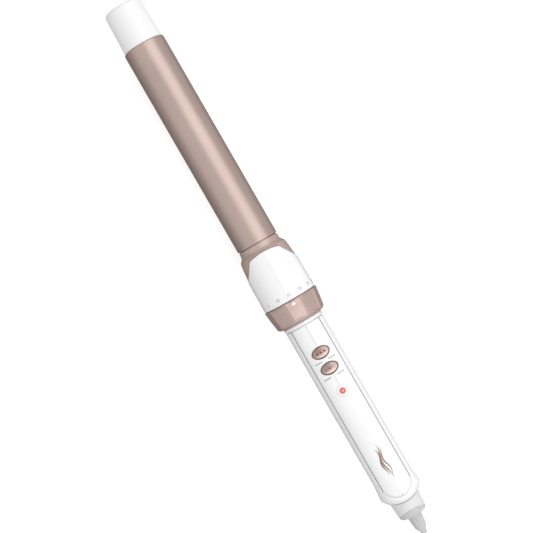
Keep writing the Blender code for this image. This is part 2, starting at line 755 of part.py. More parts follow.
def make_handle():
    front = handle_tube("handle_front_shell", WHITE_GLOSS)
    rear = handle_tube("handle_rear_shell", WHITE_GLOSS)
    cut(front, box("front_split", (-20.0, -30.0, -30.0), (170.0, 30.0, PARTING_HEIGHT + GAP / 2)))
    cut(rear, box("rear_split", (-20.0, -30.0, PARTING_HEIGHT - GAP / 2), (170.0, 30.0, 30.0)))
    rise = (HANDLE_END - HANDLE_END_SIDE) / HANDLE_END_RADIUS**2
    heights = [-HANDLE_END_RADIUS - 2.0 + i * (HANDLE_END_RADIUS + 2.0) / 6 for i in range(13)]
    saddle = [(HANDLE_END_SIDE + rise * z * z, z) for z in heights]
    rim = outline("rim_cut", [saddle + [(170.0, heights[-1]), (170.0, heights[0])]], -30.0, 30.0, along="Y")
    cut(front, rim)
    cut(rear, rim)
    cut(rear, box("neck_flat", (6.5, -20.0, -20.0), (HOUSING_WALL_START + 0.5, 20.0, -NECK_FLAT)))
    recess = panel_ring("panel_recess", HANDLE_START - 0.2, PANEL_THICKNESS + GAP, 3.0)
    cut(recess, outline("panel_recess_plan", [panel_plan(GAP)], 0.0, 40.0), "INTERSECT")
    cut(front, recess)
    panel = panel_ring("control_panel", PANEL_START, PANEL_THICKNESS, 0.0, WHITE_GLOSS)
    cut(panel, outline("panel_plan", [panel_plan(0.0)], 0.0, 40.0), "INTERSECT")
    for name, x in BUTTON_PLACES.items():
        half = BUTTON_HALF_X + GAP
        wide = (BUTTON_HALF_Y + GAP) / half
        hole = rod(f"{name}_hole", 4.5, 20.0, half, at=(x, 0.0, 0.0), along="Z", steps=24, wide=wide)
        cut(front, hole)
        cut(panel, hole)
    lens_hole = rod("lens_hole", 6.0, 20.0, LENS_RADIUS + GAP, at=(LENS_X, 0.0, 0.0), along="Z")
    cut(front, lens_hole)
    cut(panel, lens_hole)
    cut(front, box("pinion_window", (22.7, -8.6, 0.0), (28.9, 8.6, 20.0)))
    for x in HANDLE_SCREWS:
        spot = (x, 0.0, 0.0)
        join(front, rod("front_post", POST_MEETING + GAP, 10.2, FRONT_POST, at=spot, along="Z"))
        shank = HANDLE_SCREW + GAP
        cut(front, rod("front_pilot", POST_MEETING - 2.0, 5.0, shank, at=spot, along="Z", steps=12))
        join(rear, rod("rear_post", POST_FOOT, POST_MEETING, REAR_POST, at=spot, along="Z"))
        cut(rear, rod("rear_head_hole", -16.0, SCREW_SEAT, HANDLE_SCREW_HEAD[1] + GAP, at=spot, along="Z"))
        cut(rear, rod("rear_shank_hole", SCREW_SEAT - 1.0, 0.0, shank, at=spot, along="Z", steps=12))
    for x in BOARD_SCREWS:
        spot = (x, 0.0, 0.0)
        join(rear, rod("board_post", POST_FOOT, BOARD_LOW - GAP, BOARD_POST, at=spot, along="Z"))
        cut(rear, rod("board_pilot", -3.0, 6.0, BOARD_SCREW + GAP, at=spot, along="Z", steps=12))


def make_screws():
    for number, x in enumerate(HANDLE_SCREWS, 1):
        spot = (x, 0.0, 0.0)
        screw(f"handle_screw_{number}", SCREW_SEAT - GAP, 4.0, HANDLE_SCREW, HANDLE_SCREW_HEAD, spot, "Z")
    for number, x in enumerate(BOARD_SCREWS, 1):
        spot = (x, 0.0, 0.0)
        screw(f"board_screw_{number}", BOARD_HIGH + GAP, -1.8, BOARD_SCREW, BOARD_SCREW_HEAD, spot, "Z")


# ---------------------------------------------------------------------------- controls and circuit


def make_controls():
    for name, x in BUTTON_PLACES.items():
        spot = (x, 0.0, 0.0)
        half = BUTTON_HALF_X
        wide = BUTTON_HALF_Y / half
        button = rod(f"{name}_button", BUTTON_FOOT, BUTTON_TOP, half, ROSE_GOLD, spot, "Z", 24, wide)
        soften(button, 0.5)
        flange_high = (BUTTON_FLANGE[0], BUTTON_FLANGE[1], BUTTON_FOOT + 0.7)
        flange_low = (-BUTTON_FLANGE[0], -BUTTON_FLANGE[1], BUTTON_FOOT)
        join(button, box(f"{name}_flange", flange_low, flange_high, at=spot))
        seat = BOARD_HIGH + GAP
        switch = box(f"{name}_switch", (-3.0, -3.0, seat), (3.0, 3.0, SWITCH_TOP), BLACK_PLASTIC, at=spot)
        join(switch, rod(f"{name}_plunger", 6.0, PLUNGER_TOP, 1.7, at=spot, along="Z", steps=12))
    dome = [(LENS_TOP, 0.0), (LENS_TOP - 0.3, 1.2), (LENS_TOP - 0.8, LENS_RADIUS)]
    turned(
        "indicator_lens",
        dome + [(9.1, LENS_RADIUS), (9.1, 0.0)],
        RED_LENS,
        at=(LENS_X, 0.0, 0.0),
        along="Z",
        steps=ROUND_SMALL,
    )
    turned(
        "indicator_diode",
        [(8.7, 0.0), (8.2, 1.1), (7.4, 1.5), (4.9, 1.5), (4.9, 1.9), (3.9, 1.9), (3.9, 0.0)],
        RED_LENS,
        at=(LENS_X, 0.0, 0.0),
        along="Z",
        steps=12,
    )


def make_board():
    edge = BOARD_HALF_WIDTH
    loops = [[(BOARD_START, -edge), (BOARD_END, -edge), (BOARD_END, edge), (BOARD_START, edge)]]
    loops += [arc(FRONT_POST + 0.4, 0, 337.5, 15, (x, 0.0)) for x in HANDLE_SCREWS[:2]]
    loops += [arc(BOARD_SCREW + GAP, 0, 330, 11, (x, 0.0)) for x in BOARD_SCREWS]
    outline("control_board", loops, BOARD_LOW, BOARD_HIGH, BOARD_GREEN)
    top = BOARD_HIGH + GAP
    under = BOARD_LOW - GAP
    box("microcontroller", (84.0, -2.6, top), (91.0, 2.6, top + 1.4), BLACK_PLASTIC)
    box("film_capacitor", (51.0, -4.5, -5.0), (65.5, 4.5, under), FILM_YELLOW)
    rod("electrolytic_capacitor", 73.5, 82.5, 3.2, BLACK_PLASTIC, at=(0.0, 0.0, under - 3.2))
    box("triac", (84.0, -5.0, under - 4.3), (94.0, 5.0, under), BLACK_PLASTIC)


def make_leads():
    under = BOARD_LOW - GAP
    for name, side, material in (("live", 1, LEAD_RED), ("neutral", -1, LEAD_WHITE)):
        wire(
            f"heater_lead_{name}",
            [
                (ELECTRODE_END + GAP + 0.8, side * 3.0, side * 1.5),
                (-36.0, side * 3.0, side * 1.0),
                (-20.0, side * 3.2, -0.5),
                (0.0, side * 3.2, -2.0),
                (14.0, side * 3.6, -4.4),
                (26.0, side * 4.4, -5.0),
                (37.0, side * 5.4, -4.4),
                (44.5, side * 6.0, -2.4),
                (47.6, side * 6.2, 0.0),
                (48.2, side * 6.2, under),
            ],
            0.8,
            material,
        )
        wire(
            f"supply_lead_{name}",
            [
                (129.4, side * 5.2, -7.2),
                (125.0, side * 5.4, -6.0),
                (120.5, side * 5.6, -3.2),
                (116.6, side * 5.8, -0.6),
                (115.8, side * 5.8, under),
            ],
            0.8,
            material,
        )
    wire(
        "thermistor_lead",
        [
            (-45.6, 0.0, 9.4),
            (-42.0, 0.0, 8.2),
            (-37.0, 0.0, 4.4),
            (-30.0, 0.0, 3.4),
            (-10.0, 0.0, 2.6),
            (4.0, 0.0, 0.4),
            (15.0, 0.0, -3.2),
            (27.0, 0.6, -3.8),
            (37.0, 2.4, -2.4),
            (42.6, 3.9, -0.4),
            (44.4, 4.1, under),
        ],
        0.5,
        BLACK_PLASTIC,
    )


# ------------------------------------------------------------------------ swivel and strain relief


def make_swivel():
    """Everything here turns with the cord on the iron's axis."""
    turned(
        "swivel_sleeve",
        [
            (SWIVEL_END, 8.45),
            (SWIVEL_END - 0.3, 8.65),
            (SWIVEL_START, SWIVEL_RADIUS),
            (SWIVEL_START, SWIVEL_NECK),
            (END_WALL_START - GAP, SWIVEL_NECK),
            (END_WALL_START - GAP, SWIVEL_FLANGE),
            (END_WALL_START - 2.8, SWIVEL_FLANGE),
            (END_WALL_START - 2.8, SWIVEL_BORE),
            (SWIVEL_END, SWIVEL_BORE),
        ],
        GREY_PLASTIC,
    )
    relief_start = SWIVEL_END + GAP
    turned(
        "strain_relief",
        [
            (HALF_LENGTH, 1.7),
            (HALF_LENGTH - 0.4, 2.1),
            (172.6, 2.1),
            (171.6, 2.85),
            (170.2, 3.6),
            (162.5, 4.45),
            (162.1, 6.6),
            (161.5, 8.0),
            (161.0, 8.4),
            (relief_start, 8.45),
            (relief_start, SPINDLE_RADIUS),
            (151.2, SPINDLE_RADIUS),
            (151.2, 1.2),
            (HALF_LENGTH, 1.2),
        ],
        GREY_RUBBER,
        steps=24,
    )
    tube("swivel_spindle", SPINDLE_START, 150.9, SPINDLE_RADIUS, SPINDLE_BORE, NYLON, steps=ROUND_SMALL)
    for name, start in RING_PLACES.items():
        tube(f"slip_ring_{name}", start, start + RING_WIDTH, RING_RADIUS, SWIVEL_BORE, BRASS, steps=24)


def make_brushes():
    """Each brush is a bowed leaf that reaches up from its holder to a slip ring."""
    box("brush_holder", (130.0, -5.8, -7.6), (140.0, 5.8, -6.2), PHENOLIC)
    side = [(1.2, -RING_RADIUS - GAP), (5.5, -5.5), (5.5, -5.9), (1.2, -5.1)]
    leaf = side + [(-y, z) for y, z in reversed(side)]
    for name, start in RING_PLACES.items():
        outline(f"brush_{name}", [leaf], start + 0.4, start + RING_WIDTH - 0.4, BRASS, along="X")


make_tip()
make_barrel()
make_heater()
make_housing()
make_stand()
make_dial()
make_pinion()
make_handle()
make_screws()
make_controls()
make_board()
make_leads()
make_swivel()
make_brushes()
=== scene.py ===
"""A clipless curling iron in satin rose gold and glossy white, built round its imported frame.

Shapes are worked out in millimetres, as places x along the iron's axis and distances from that axis, and are
turned into metres when a mesh is made. An angle round the axis is 0 at the front, where the buttons are, and
grows towards +Y.
"""

import math

import bmesh
import bpy
import numpy as np
from mathutils import Matrix, Vector


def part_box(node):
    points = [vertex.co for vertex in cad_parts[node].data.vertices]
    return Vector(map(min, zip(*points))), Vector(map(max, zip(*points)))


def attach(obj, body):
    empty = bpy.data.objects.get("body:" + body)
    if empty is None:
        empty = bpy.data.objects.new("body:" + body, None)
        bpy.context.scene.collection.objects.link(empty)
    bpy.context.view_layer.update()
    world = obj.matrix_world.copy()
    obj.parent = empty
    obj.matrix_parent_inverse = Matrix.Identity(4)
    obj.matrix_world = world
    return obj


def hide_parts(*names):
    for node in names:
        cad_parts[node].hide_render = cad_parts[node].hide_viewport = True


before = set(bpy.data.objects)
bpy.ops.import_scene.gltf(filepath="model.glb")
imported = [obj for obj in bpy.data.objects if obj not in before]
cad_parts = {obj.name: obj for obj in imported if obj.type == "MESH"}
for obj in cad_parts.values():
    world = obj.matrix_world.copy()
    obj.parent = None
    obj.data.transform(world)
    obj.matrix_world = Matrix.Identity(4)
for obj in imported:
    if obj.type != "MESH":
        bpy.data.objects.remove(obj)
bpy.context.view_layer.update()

MM = 0.001
ROUND = 192  # columns round a turned piece
FINE = 360  # columns round a piece whose edge or pads have corners
TURN = 2 * math.pi


def ends(node):
    """Where a CAD node starts and ends along the iron."""
    low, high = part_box(node)
    return low.x / MM, high.x / MM


def radius_of(node):
    low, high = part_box(node)
    return (high.y - low.y) / 2 / MM


def middle(node):
    low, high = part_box(node)
    return (low + high) / 2 / MM


def heights(node):
    """How high above the axis a CAD node starts and ends."""
    low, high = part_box(node)
    return low.z / MM - AXIS, high.z / MM - AXIS


# Driving places, read from the frame
AXIS = middle("barrel").z
BARREL_START, BARREL_END = ends("barrel")
BARREL_RADIUS = radius_of("barrel")
TIP_END, TIP_SPIGOT_END = ends("cool_tip")
COLLAR_START = ends("neck_collar")[0]
HOUSING_START, HOUSING_END = ends("scale_housing")
DIAL_START, DIAL_END = ends("heat_dial")
DIAL_RADIUS = AXIS
TRIM_START, TRIM_END = ends("dial_trim_ring")
NECK_START, RIM_END = ends("handle_rear_shell")
PANEL_END = ends("control_panel")[1]
SWIVEL_FLANGE_START, SWIVEL_END = ends("swivel_sleeve")
SPINDLE_START, RELIEF_END = ends("strain_relief")
STAND_TIP = ends("counter_stand")[0]
STAND_PIVOT = middle("stand_hinge_pin")

# Shapes that the frame's boxes don't give
BARREL_SHOULDER = -18.5
BARREL_TAIL = 11.6  # radius behind the shoulder, inside the collar
GAP = 0.3  # clearance between neighbouring pieces
NECK_RADIUS = 11.3
HANDLE_START = TRIM_END + GAP
HANDLE_RADIUS = 11.95
HANDLE_WALL = 2.0
RIM_SIDE = 149.2  # the handle's rim is lowest at its sides
RIM_POCKET = (148.6, 9.8)  # start and radius of the pocket that the swivel turns in
PARTING = math.acos(4.2 / HANDLE_RADIUS)  # angle of the joint between the two handle shells
PANEL_HALF_WIDTH = 8.95
PANEL_DEPTH = 1.0


# ---- materials


def put(node, **values):
    """Sets inputs of a shader node. An underscore stands for a space."""
    for name, value in values.items():
        node.inputs[name.replace("_", " ")].default_value = value


def pale(colour, share):
    return (*[min(1.0, channel * share) for channel in colour], 1.0)


NOISE_LOW, NOISE_HIGH = 0.3, 0.7  # most of a noise texture lies between these


def finish(name, colour, roughness, metallic=0.0, tone=(0.02, 40.0), spread=(0.04, 300.0),
           grain=(0.002, 5000.0), stretch=1.0, **sockets):
    """A procedural material whose colour, roughness and surface all vary a little.

    tone and spread are how far the colour and roughness wander and at what scale. grain is the depth in mm
    and the scale of the surface texture. stretch draws all of it out along the iron.
    """
    material = bpy.data.materials.new(name)
    material.use_nodes = True
    nodes = material.node_tree.nodes
    links = material.node_tree.links
    shader = nodes["Principled BSDF"]
    put(shader, Metallic=metallic, **sockets)
    place = nodes.new("ShaderNodeTexCoord")
    mapping = nodes.new("ShaderNodeMapping")
    put(mapping, Scale=(1.0 / stretch, 1.0, 1.0))
    links.new(place.outputs["Object"], mapping.inputs["Vector"])

    def noise(scale, detail):
        node = nodes.new("ShaderNodeTexNoise")
        put(node, Scale=scale, Detail=detail)
        links.new(mapping.outputs["Vector"], node.inputs["Vector"])
        return node.outputs["Fac"]

    ramp = nodes.new("ShaderNodeValToRGB")
    for element, position, share in zip(ramp.color_ramp.elements, (NOISE_LOW, NOISE_HIGH), (-1, 1)):
        element.position = position
        element.color = pale(colour, 1 + share * tone[0])
    links.new(noise(tone[1], 3.0), ramp.inputs["Fac"])
    links.new(ramp.outputs["Color"], shader.inputs["Base Color"])
    rough = nodes.new("ShaderNodeMapRange")
    put(rough, From_Min=NOISE_LOW, From_Max=NOISE_HIGH)
    put(rough, To_Min=roughness - spread[0], To_Max=roughness + spread[0])
    links.new(noise(spread[1], 2.0), rough.inputs["Value"])
    links.new(rough.outputs["Result"], shader.inputs["Roughness"])
    bump = nodes.new("ShaderNodeBump")
    put(bump, Distance=grain[0] * MM)
    links.new(noise(grain[1], 2.0), bump.inputs["Height"])
    links.new(bump.outputs["Normal"], shader.inputs["Normal"])
    return material


def ink(name, colour, roughness=0.5, metallic=0.0, tone=(0.05, 500.0)):
    """An even, smooth material for prints, and for the thin rings and strips of painted shade in gaps and
    grooves.
    """
    return finish(name, colour, roughness, metallic, tone=tone, grain=(0.001, 6000.0))


COATING = finish("ceramic_coating", (0.500, 0.383, 0.345), 0.43, 0.69, tone=(0.025, 60.0),
                 spread=(0.03, 900.0), grain=(0.0015, 9000.0), Specular_IOR_Level=0.75)
PLATING = finish("rose_plating", (0.50, 0.375, 0.335), 0.40, 0.35, tone=(0.02, 80.0), grain=(0.0008, 5000.0))
DIAL_PLATING = finish("dial_plating", (0.50, 0.375, 0.338), 0.34, 0.45, tone=(0.02, 80.0),
                      grain=(0.0008, 5000.0))
KEY_PLATING = finish("key_plating", (0.44, 0.325, 0.29), 0.28, 0.75, tone=(0.03, 200.0),
                     grain=(0.0008, 7000.0))
GLOSS = finish("white_gloss", (0.795, 0.795, 0.80), 0.16, tone=(0.008, 25.0), spread=(0.03, 120.0),
               grain=(0.0015, 700.0), Coat_Weight=0.3, Coat_Roughness=0.08)
SATIN = finish("white_satin", (0.785, 0.785, 0.785), 0.40, tone=(0.01, 30.0), grain=(0.006, 5500.0))
GREY = finish("grey_plastic", (0.63, 0.63, 0.635), 0.55, tone=(0.015, 60.0), grain=(0.005, 4500.0))
RUBBER = finish("grey_rubber", (0.475, 0.475, 0.48), 0.62, tone=(0.03, 120.0), grain=(0.012, 3500.0),
                Sheen_Weight=0.15)
STAND_PLASTIC = finish("stand_plastic", (0.62, 0.63, 0.64), 0.45, tone=(0.02, 90.0), grain=(0.008, 4000.0))
STEEL = finish("screw_steel", (0.58, 0.58, 0.60), 0.30, 1.0, tone=(0.04, 900.0), spread=(0.08, 1200.0),
               grain=(0.002, 3000.0))
GREY_INK = ink("grey_ink", (0.16, 0.16, 0.17), tone=(0.05, 700.0))
FAINT_INK = ink("faint_ink", (0.38, 0.38, 0.39), tone=(0.05, 700.0))
WHITE_INK = ink("white_ink", (0.90, 0.90, 0.90), 0.4, tone=(0.01, 500.0))
ROSE_FOIL = ink("rose_foil", (0.30, 0.19, 0.175), 0.35, 0.5)
# Painted shade: strips that lie in the groove round the panel and stand for its shade, grey at the sides and
# paler at the cord end.
GROOVE_SHADE_GREY = ink("groove_shade_grey", (0.28, 0.28, 0.285), tone=(0.02, 200.0))
GROOVE_SHADE_PALE = ink("groove_shade_pale", (0.56, 0.56, 0.565), tone=(0.02, 200.0))
KEY_GAP_SHADE = ink("key_gap_shade", (0.15, 0.10, 0.09))
PIP_INK = ink("pip_ink", (0.07, 0.04, 0.035), 0.45)
BRASS = finish("brass", (0.72, 0.53, 0.24), 0.32, 1.0, tone=(0.05, 400.0), spread=(0.06, 600.0))
NYLON = finish("nylon", (0.78, 0.76, 0.70), 0.48, tone=(0.02, 200.0), Subsurface_Weight=0.15)
PHENOLIC = finish("phenolic", (0.09, 0.055, 0.035), 0.55, tone=(0.25, 700.0), grain=(0.01, 2500.0))
ALUMINIUM = finish("aluminium", (0.78, 0.79, 0.80), 0.36, 1.0, tone=(0.03, 500.0), spread=(0.06, 900.0),
                   grain=(0.004, 3000.0), stretch=30.0)
CERAMIC = finish("heater_ceramic", (0.82, 0.80, 0.74), 0.7, tone=(0.04, 900.0), grain=(0.01, 2500.0))
MICA = finish("mica", (0.66, 0.56, 0.36), 0.35, tone=(0.18, 600.0), spread=(0.12, 700.0), Coat_Weight=0.3)
BLACK = finish("black_plastic", (0.02, 0.02, 0.022), 0.5, tone=(0.2, 500.0), grain=(0.01, 4000.0))
FILM = finish("film_yellow", (0.75, 0.55, 0.07), 0.4, tone=(0.04, 300.0))
LEAD_RED = finish("lead_red", (0.50, 0.035, 0.03), 0.45, tone=(0.05, 300.0))
LEAD_WHITE = finish("lead_white", (0.78, 0.78, 0.76), 0.45, tone=(0.03, 300.0))
BOARD = finish("board_green", (0.03, 0.20, 0.09), 0.42, tone=(0.35, 450.0), grain=(0.01, 900.0),
               Coat_Weight=0.4)


def radiant(name, centre, stops, reach, strength):
    """A plastic lit from below, also used for the glow painted on the panel round the lens. Its colour and
    glow fade with the distance from centre, as stops say.
    """
    material = finish(name, stops[0][1], 0.25, grain=(0.0005, 5000.0))
    nodes = material.node_tree.nodes
    links = material.node_tree.links
    shader = nodes["Principled BSDF"]
    place = nodes.new("ShaderNodeTexCoord")
    away = nodes.new("ShaderNodeVectorMath")
    away.operation = "DISTANCE"
    away.inputs[1].default_value = centre
    links.new(place.outputs["Object"], away.inputs[0])
    share = nodes.new("ShaderNodeMapRange")
    put(share, From_Max=reach)
    links.new(away.outputs["Value"], share.inputs["Value"])
    ramp = nodes.new("ShaderNodeValToRGB")
    ramp.color_ramp.elements[0].color = (*stops[0][1], 1.0)
    ramp.color_ramp.elements[1].color = (*stops[-1][1], 1.0)
    for position, colour in stops[1:-1]:
        ramp.color_ramp.elements.new(position).color = (*colour, 1.0)
    links.new(share.outputs["Result"], ramp.inputs["Fac"])
    links.new(ramp.outputs["Color"], shader.inputs["Base Color"])
    links.new(ramp.outputs["Color"], shader.inputs["Emission Color"])
    put(shader, Emission_Strength=strength)
    return material


# ---- building blocks


SUPPORT = 1.6  # how far from a corner its support points lie, in reaches of its arc


def rounded(corners, steps=6):
    """An outline through (x, radius, fillet) corners, with an arc and two support points at each fillet."""
    outline = []
    count = len(corners)
    for i, corner in enumerate(corners):
        here = Vector(corner[:2])
        fillet = corner[2] if len(corner) > 2 else 0.0
        if not fillet:
            outline.append(tuple(here))
            continue
        back = Vector(corners[i - 1][:2]) - here
        ahead = Vector(corners[(i + 1) % count][:2]) - here
        bend = math.pi - back.angle(ahead)
        reach = min(fillet * math.tan(bend / 2), 0.45 * back.length, 0.45 * ahead.length)
        fillet = reach / math.tan(bend / 2)
        back.normalize()
        ahead.normalize()
        centre = here + (back + ahead).normalized() * fillet / math.cos(bend / 2)
        start = here + back * reach - centre
        end = here + ahead * reach - centre
        outline.append(tuple(here + back * reach * SUPPORT))
        for step in range(steps + 1):
            part = step / steps
            arm = start * math.sin((1 - part) * bend) + end * math.sin(part * bend)
            outline.append(tuple(centre + arm / math.sin(bend)))
        outline.append(tuple(here + ahead * reach * SUPPORT))
    return outline


def subdivided(outline, reach):
    """The outline with points added wherever two lie further apart than reach."""
    added = []
    for here, ahead in zip(outline, outline[1:] + outline[:1]):
        count = max(math.ceil(math.dist(here, ahead) / reach), 1)
        here, ahead = np.array(here), np.array(ahead)
        added += [tuple(here + (ahead - here) * i / count) for i in range(count)]
    return added


def quarter(steps, first=0):
    """(sine, cosine) pairs over a quarter turn, in equal steps."""
    turns = [math.pi / 2 * step / steps for step in range(first, steps + 1)]
    return [(math.sin(turn), math.cos(turn)) for turn in turns]


def columns(count=FINE):
    """Angles all round the iron, one for each column of points."""
    return np.arange(count) * TURN / count


WELD = 2e-8  # metres; points closer than this are one point


def grid_mesh(name, points, ring, around):
    """A closed mesh over a grid of points in mm, whose columns run round the iron and rows along the outline.

    ring closes the rows on themselves, around closes the columns, and any rim that is left open is filled.
    """
    index = np.arange(points[..., 0].size).reshape(points.shape[:2])
    if around:
        index = np.vstack([index, index[:1]])
    if ring:
        index = np.hstack([index, index[:, :1]])
    faces = np.stack([index[:-1, :-1], index[1:, :-1], index[1:, 1:], index[:-1, 1:]], -1).reshape(-1, 4)
    mesh = bpy.data.meshes.new(name)
    mesh.from_pydata((points.reshape(-1, 3) * MM).tolist(), [], faces.tolist())
    body = bmesh.new()
    body.from_mesh(mesh)
    bmesh.ops.remove_doubles(body, verts=body.verts, dist=WELD)
    bmesh.ops.dissolve_degenerate(body, edges=body.edges, dist=WELD)
    rims = [edge for edge in body.edges if edge.is_boundary]
    if rims:
        bmesh.ops.holes_fill(body, edges=rims)
    bmesh.ops.recalc_face_normals(body, faces=body.faces)
    body.to_mesh(mesh)
    body.free()
    return mesh


def skin(name, x, angle, radius, ring=True, around=True):
    """A grid mesh from arrays of places along the axis, angles and radii."""
    x, angle, radius = np.broadcast_arrays(x, angle, radius)
    points = np.stack([x, radius * np.sin(angle), AXIS + radius * np.cos(angle)], -1)
    return grid_mesh(name, points, ring, around)


def rear_fillet(start, radius_at, fillet, steps):
    """Rows over a rounded edge at the cord side, from where the fillet starts."""
    rows = []
    for sine, cosine in quarter(steps, 1):
        place = start + fillet * sine
        rows.append((place, radius_at(place) - fillet * (1 - cosine)))
    return rows


def ruled(name, angles, rows):
    """A closed mesh through rows of (place, radius), where either may differ from column to column."""
    x, radii = ([np.broadcast_to(row[i], angles.shape) for row in rows] for i in (0, 1))
    return skin(name, np.stack(x, 1).astype(float), angles[:, None], np.stack(radii, 1).astype(float))


def turned(name, corners, steps=ROUND, fillet_steps=6):
    """A turned mesh on the iron's axis. A profile that starts and ends on the axis is solid in the middle."""
    outline = np.array(rounded(corners, fillet_steps))
    on_axis = corners[0][1] == 0
    return skin(name, outline[None, :, 0], columns(steps)[:, None], outline[None, :, 1], ring=not on_axis)


def lathe(name, corners, at, along="Z", steps=48, wide=1.0, fillet_steps=5):
    """A turned mesh on a line through at, from (height, radius, fillet) corners. wide stretches it in Y."""
    outline = np.array(rounded(corners, fillet_steps))
    angles = columns(steps)[:, None]
    heights = np.broadcast_to(outline[None, :, 0], (steps, len(outline)))
    radii = outline[None, :, 1]
    a, b = radii * np.cos(angles), radii * np.sin(angles) * wide
    local = {"Z": (a, b, heights), "Y": (a, heights, -b)}[along]
    return grid_mesh(name, np.stack(local, -1) + np.array(at), ring=corners[0][1] > 0, around=True)


def drum(low, high, radius, *fillet):
    """The corners of a plain cylinder, for lathe. A fillet rounds both of its rims."""
    return [(low, 0.0), (low, radius, *fillet), (high, radius, *fillet), (high, 0.0)]


def settled(name, body):
    """The bmesh as a mesh of its own."""
    mesh = bpy.data.meshes.new(name)
    body.to_mesh(mesh)
    body.free()
    return mesh


def linked(name, data):
    """A new object in the scene."""
    obj = bpy.data.objects.new(name, data)
    bpy.context.scene.collection.objects.link(obj)
    return obj


def block(name, low, high, soft=0.0):
    """A box from low to high, with rounded edges."""
    body = bmesh.new()
    size = Vector(high) - Vector(low)
    centre = (Vector(high) + Vector(low)) / 2
    bmesh.ops.create_cube(body, size=1.0, matrix=Matrix.Translation(centre) @ Matrix.Diagonal((*size, 1.0)))
    if soft:
        bmesh.ops.bevel(body, geom=body.edges, offset=soft, segments=4, profile=0.5, affect="EDGES")
    bmesh.ops.scale(body, vec=(MM, MM, MM), verts=body.verts)
    return settled(name, body)


def join(name, *meshes):
    """One mesh out of several closed ones."""
    body = bmesh.new()
    for mesh in meshes:
        body.from_mesh(mesh)
    return settled(name, body)


def carve(mesh, *tools, operation="DIFFERENCE"):
    """The mesh after a Boolean with each tool."""
    target = linked("carve_target", mesh)
    spent = [target]
    for tool in tools:
        cutter = linked("carve_tool", tool)
        modifier = target.modifiers.new("carve", "BOOLEAN")
        modifier.operation = operation
        modifier.object = cutter
        modifier.solver = "MANIFOLD"
        spent.append(cutter)
    graph = bpy.context.evaluated_depsgraph_get()
    result = bpy.data.meshes.new_from_object(target.evaluated_get(graph))
    assert result.polygons, f"nothing is left of {mesh.name}"
    for obj in spent:
        bpy.data.objects.remove(obj, do_unlink=True)
    return result


SHARP_ANGLE = math.radians(38.0)  # an edge that bends more than this looks crisp


def piece(name, mesh, material, body="iron_body", stands_for=()):
    """Puts a finished mesh into the scene, riding on its body."""
    obj = linked(name, mesh)
    mesh.materials.clear()
    mesh.materials.append(material)
    mesh.shade_smooth()
    mesh.set_sharp_from_angle(angle=SHARP_ANGLE)
    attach(obj, body)
    if stands_for:
        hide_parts(*stands_for)


# ---- tip and barrel


SPIGOT_RADIUS = 11.4
TIP_POST_RADIUS, TIP_POST_END = 3.2, -143.0  # the post takes the tip screw
TIP_PILOT_RADIUS, TIP_PILOT_END = 1.3, -155.0
TIP_CAVITY_RADIUS, TIP_CAVITY_END = 9.3, -171.8
TIP_DIMPLE_DEPTH = 0.25


def make_tip():
    """The end cap: a tapered grip with a soft end, and a spigot that goes into the barrel."""
    shoulder = BARREL_START - GAP
    cap = turned(
        "tip_cap",
        [
            (TIP_PILOT_END, 0.0),
            (TIP_PILOT_END, TIP_PILOT_RADIUS),
            (TIP_POST_END, TIP_PILOT_RADIUS),
            (TIP_POST_END, TIP_POST_RADIUS, 0.3),
            (TIP_CAVITY_END, TIP_POST_RADIUS),
            (TIP_CAVITY_END, TIP_CAVITY_RADIUS, 0.8),
            (TIP_SPIGOT_END, TIP_CAVITY_RADIUS),
            (TIP_SPIGOT_END, SPIGOT_RADIUS, 0.4),
            (shoulder, SPIGOT_RADIUS),
            (shoulder, 12.1, 0.25),
            (TIP_END + 5.0, 11.62, 20.0),
            (TIP_END, 11.35, 3.2),
            (TIP_END, 6.6, 0.15),
            (TIP_END + TIP_DIMPLE_DEPTH, 6.3, 0.15),
            (TIP_END + TIP_DIMPLE_DEPTH, 0.0),
        ],
        fillet_steps=10,
    )
    piece("tip_cap", cap, SATIN, stands_for=["cool_tip"])


def make_barrel():
    """A tube that narrows behind a shoulder, with a hole through both sides of its tail for the screws."""
    wall, tail_wall, screw_radius = 1.0, 0.8, 1.1
    inner = BARREL_RADIUS - wall
    tail_inner = BARREL_TAIL - tail_wall
    tube = turned(
        "barrel_tube",
        [
            (BARREL_END, BARREL_TAIL, 0.2),
            (BARREL_SHOULDER + 0.1, BARREL_TAIL),
            (BARREL_SHOULDER - 0.2, BARREL_RADIUS, 0.25),
            (BARREL_START, BARREL_RADIUS, 0.4),
            (BARREL_START, inner, 0.2),
            (BARREL_SHOULDER - 2.0, inner),
            (BARREL_SHOULDER - 1.0, tail_inner),
            (BARREL_END, tail_inner),
        ],
    )
    screw = middle("barrel_screw_1")
    hole = lathe("hole", drum(-16.0, 16.0, screw_radius), (screw.x, 0.0, AXIS), along="Y")
    piece("barrel_tube", carve(tube, hole), COATING, stands_for=["barrel"])


# ---- collar and housing

SHIELD_CORNER = (-11.2, 9.8)
SHIELD_FOOT = (-0.3, 16.3)
SHIELD_SLOPE = (SHIELD_FOOT[0] - SHIELD_CORNER[0]) / (SHIELD_FOOT[1] - SHIELD_CORNER[1])
SHIELD_REACH = 15.6  # how far across the shield's front edge is taken to run
SHIELD_BOW = 0.013
SHIELD_EASE = 0.1  # how far the corner is rounded off
HOUSING_PLACES = [-14.0, -8.0, -1.7, 3.0, HOUSING_END]
HOUSING_RADII = [15.0, 15.55, 16.1, 16.25, 16.4]
HOUSING_BORE = 14.1
HOUSING_REAR_WALL = 2.4
FRONT_FILLET, REAR_FILLET = 0.6, 0.5
COLLAR_BORE = 13.0
COLLAR_LIP = 11.9  # radius of the hole that the barrel comes through
COLLAR_COVERED_RADIUS = 13.8  # where the collar lies under the housing


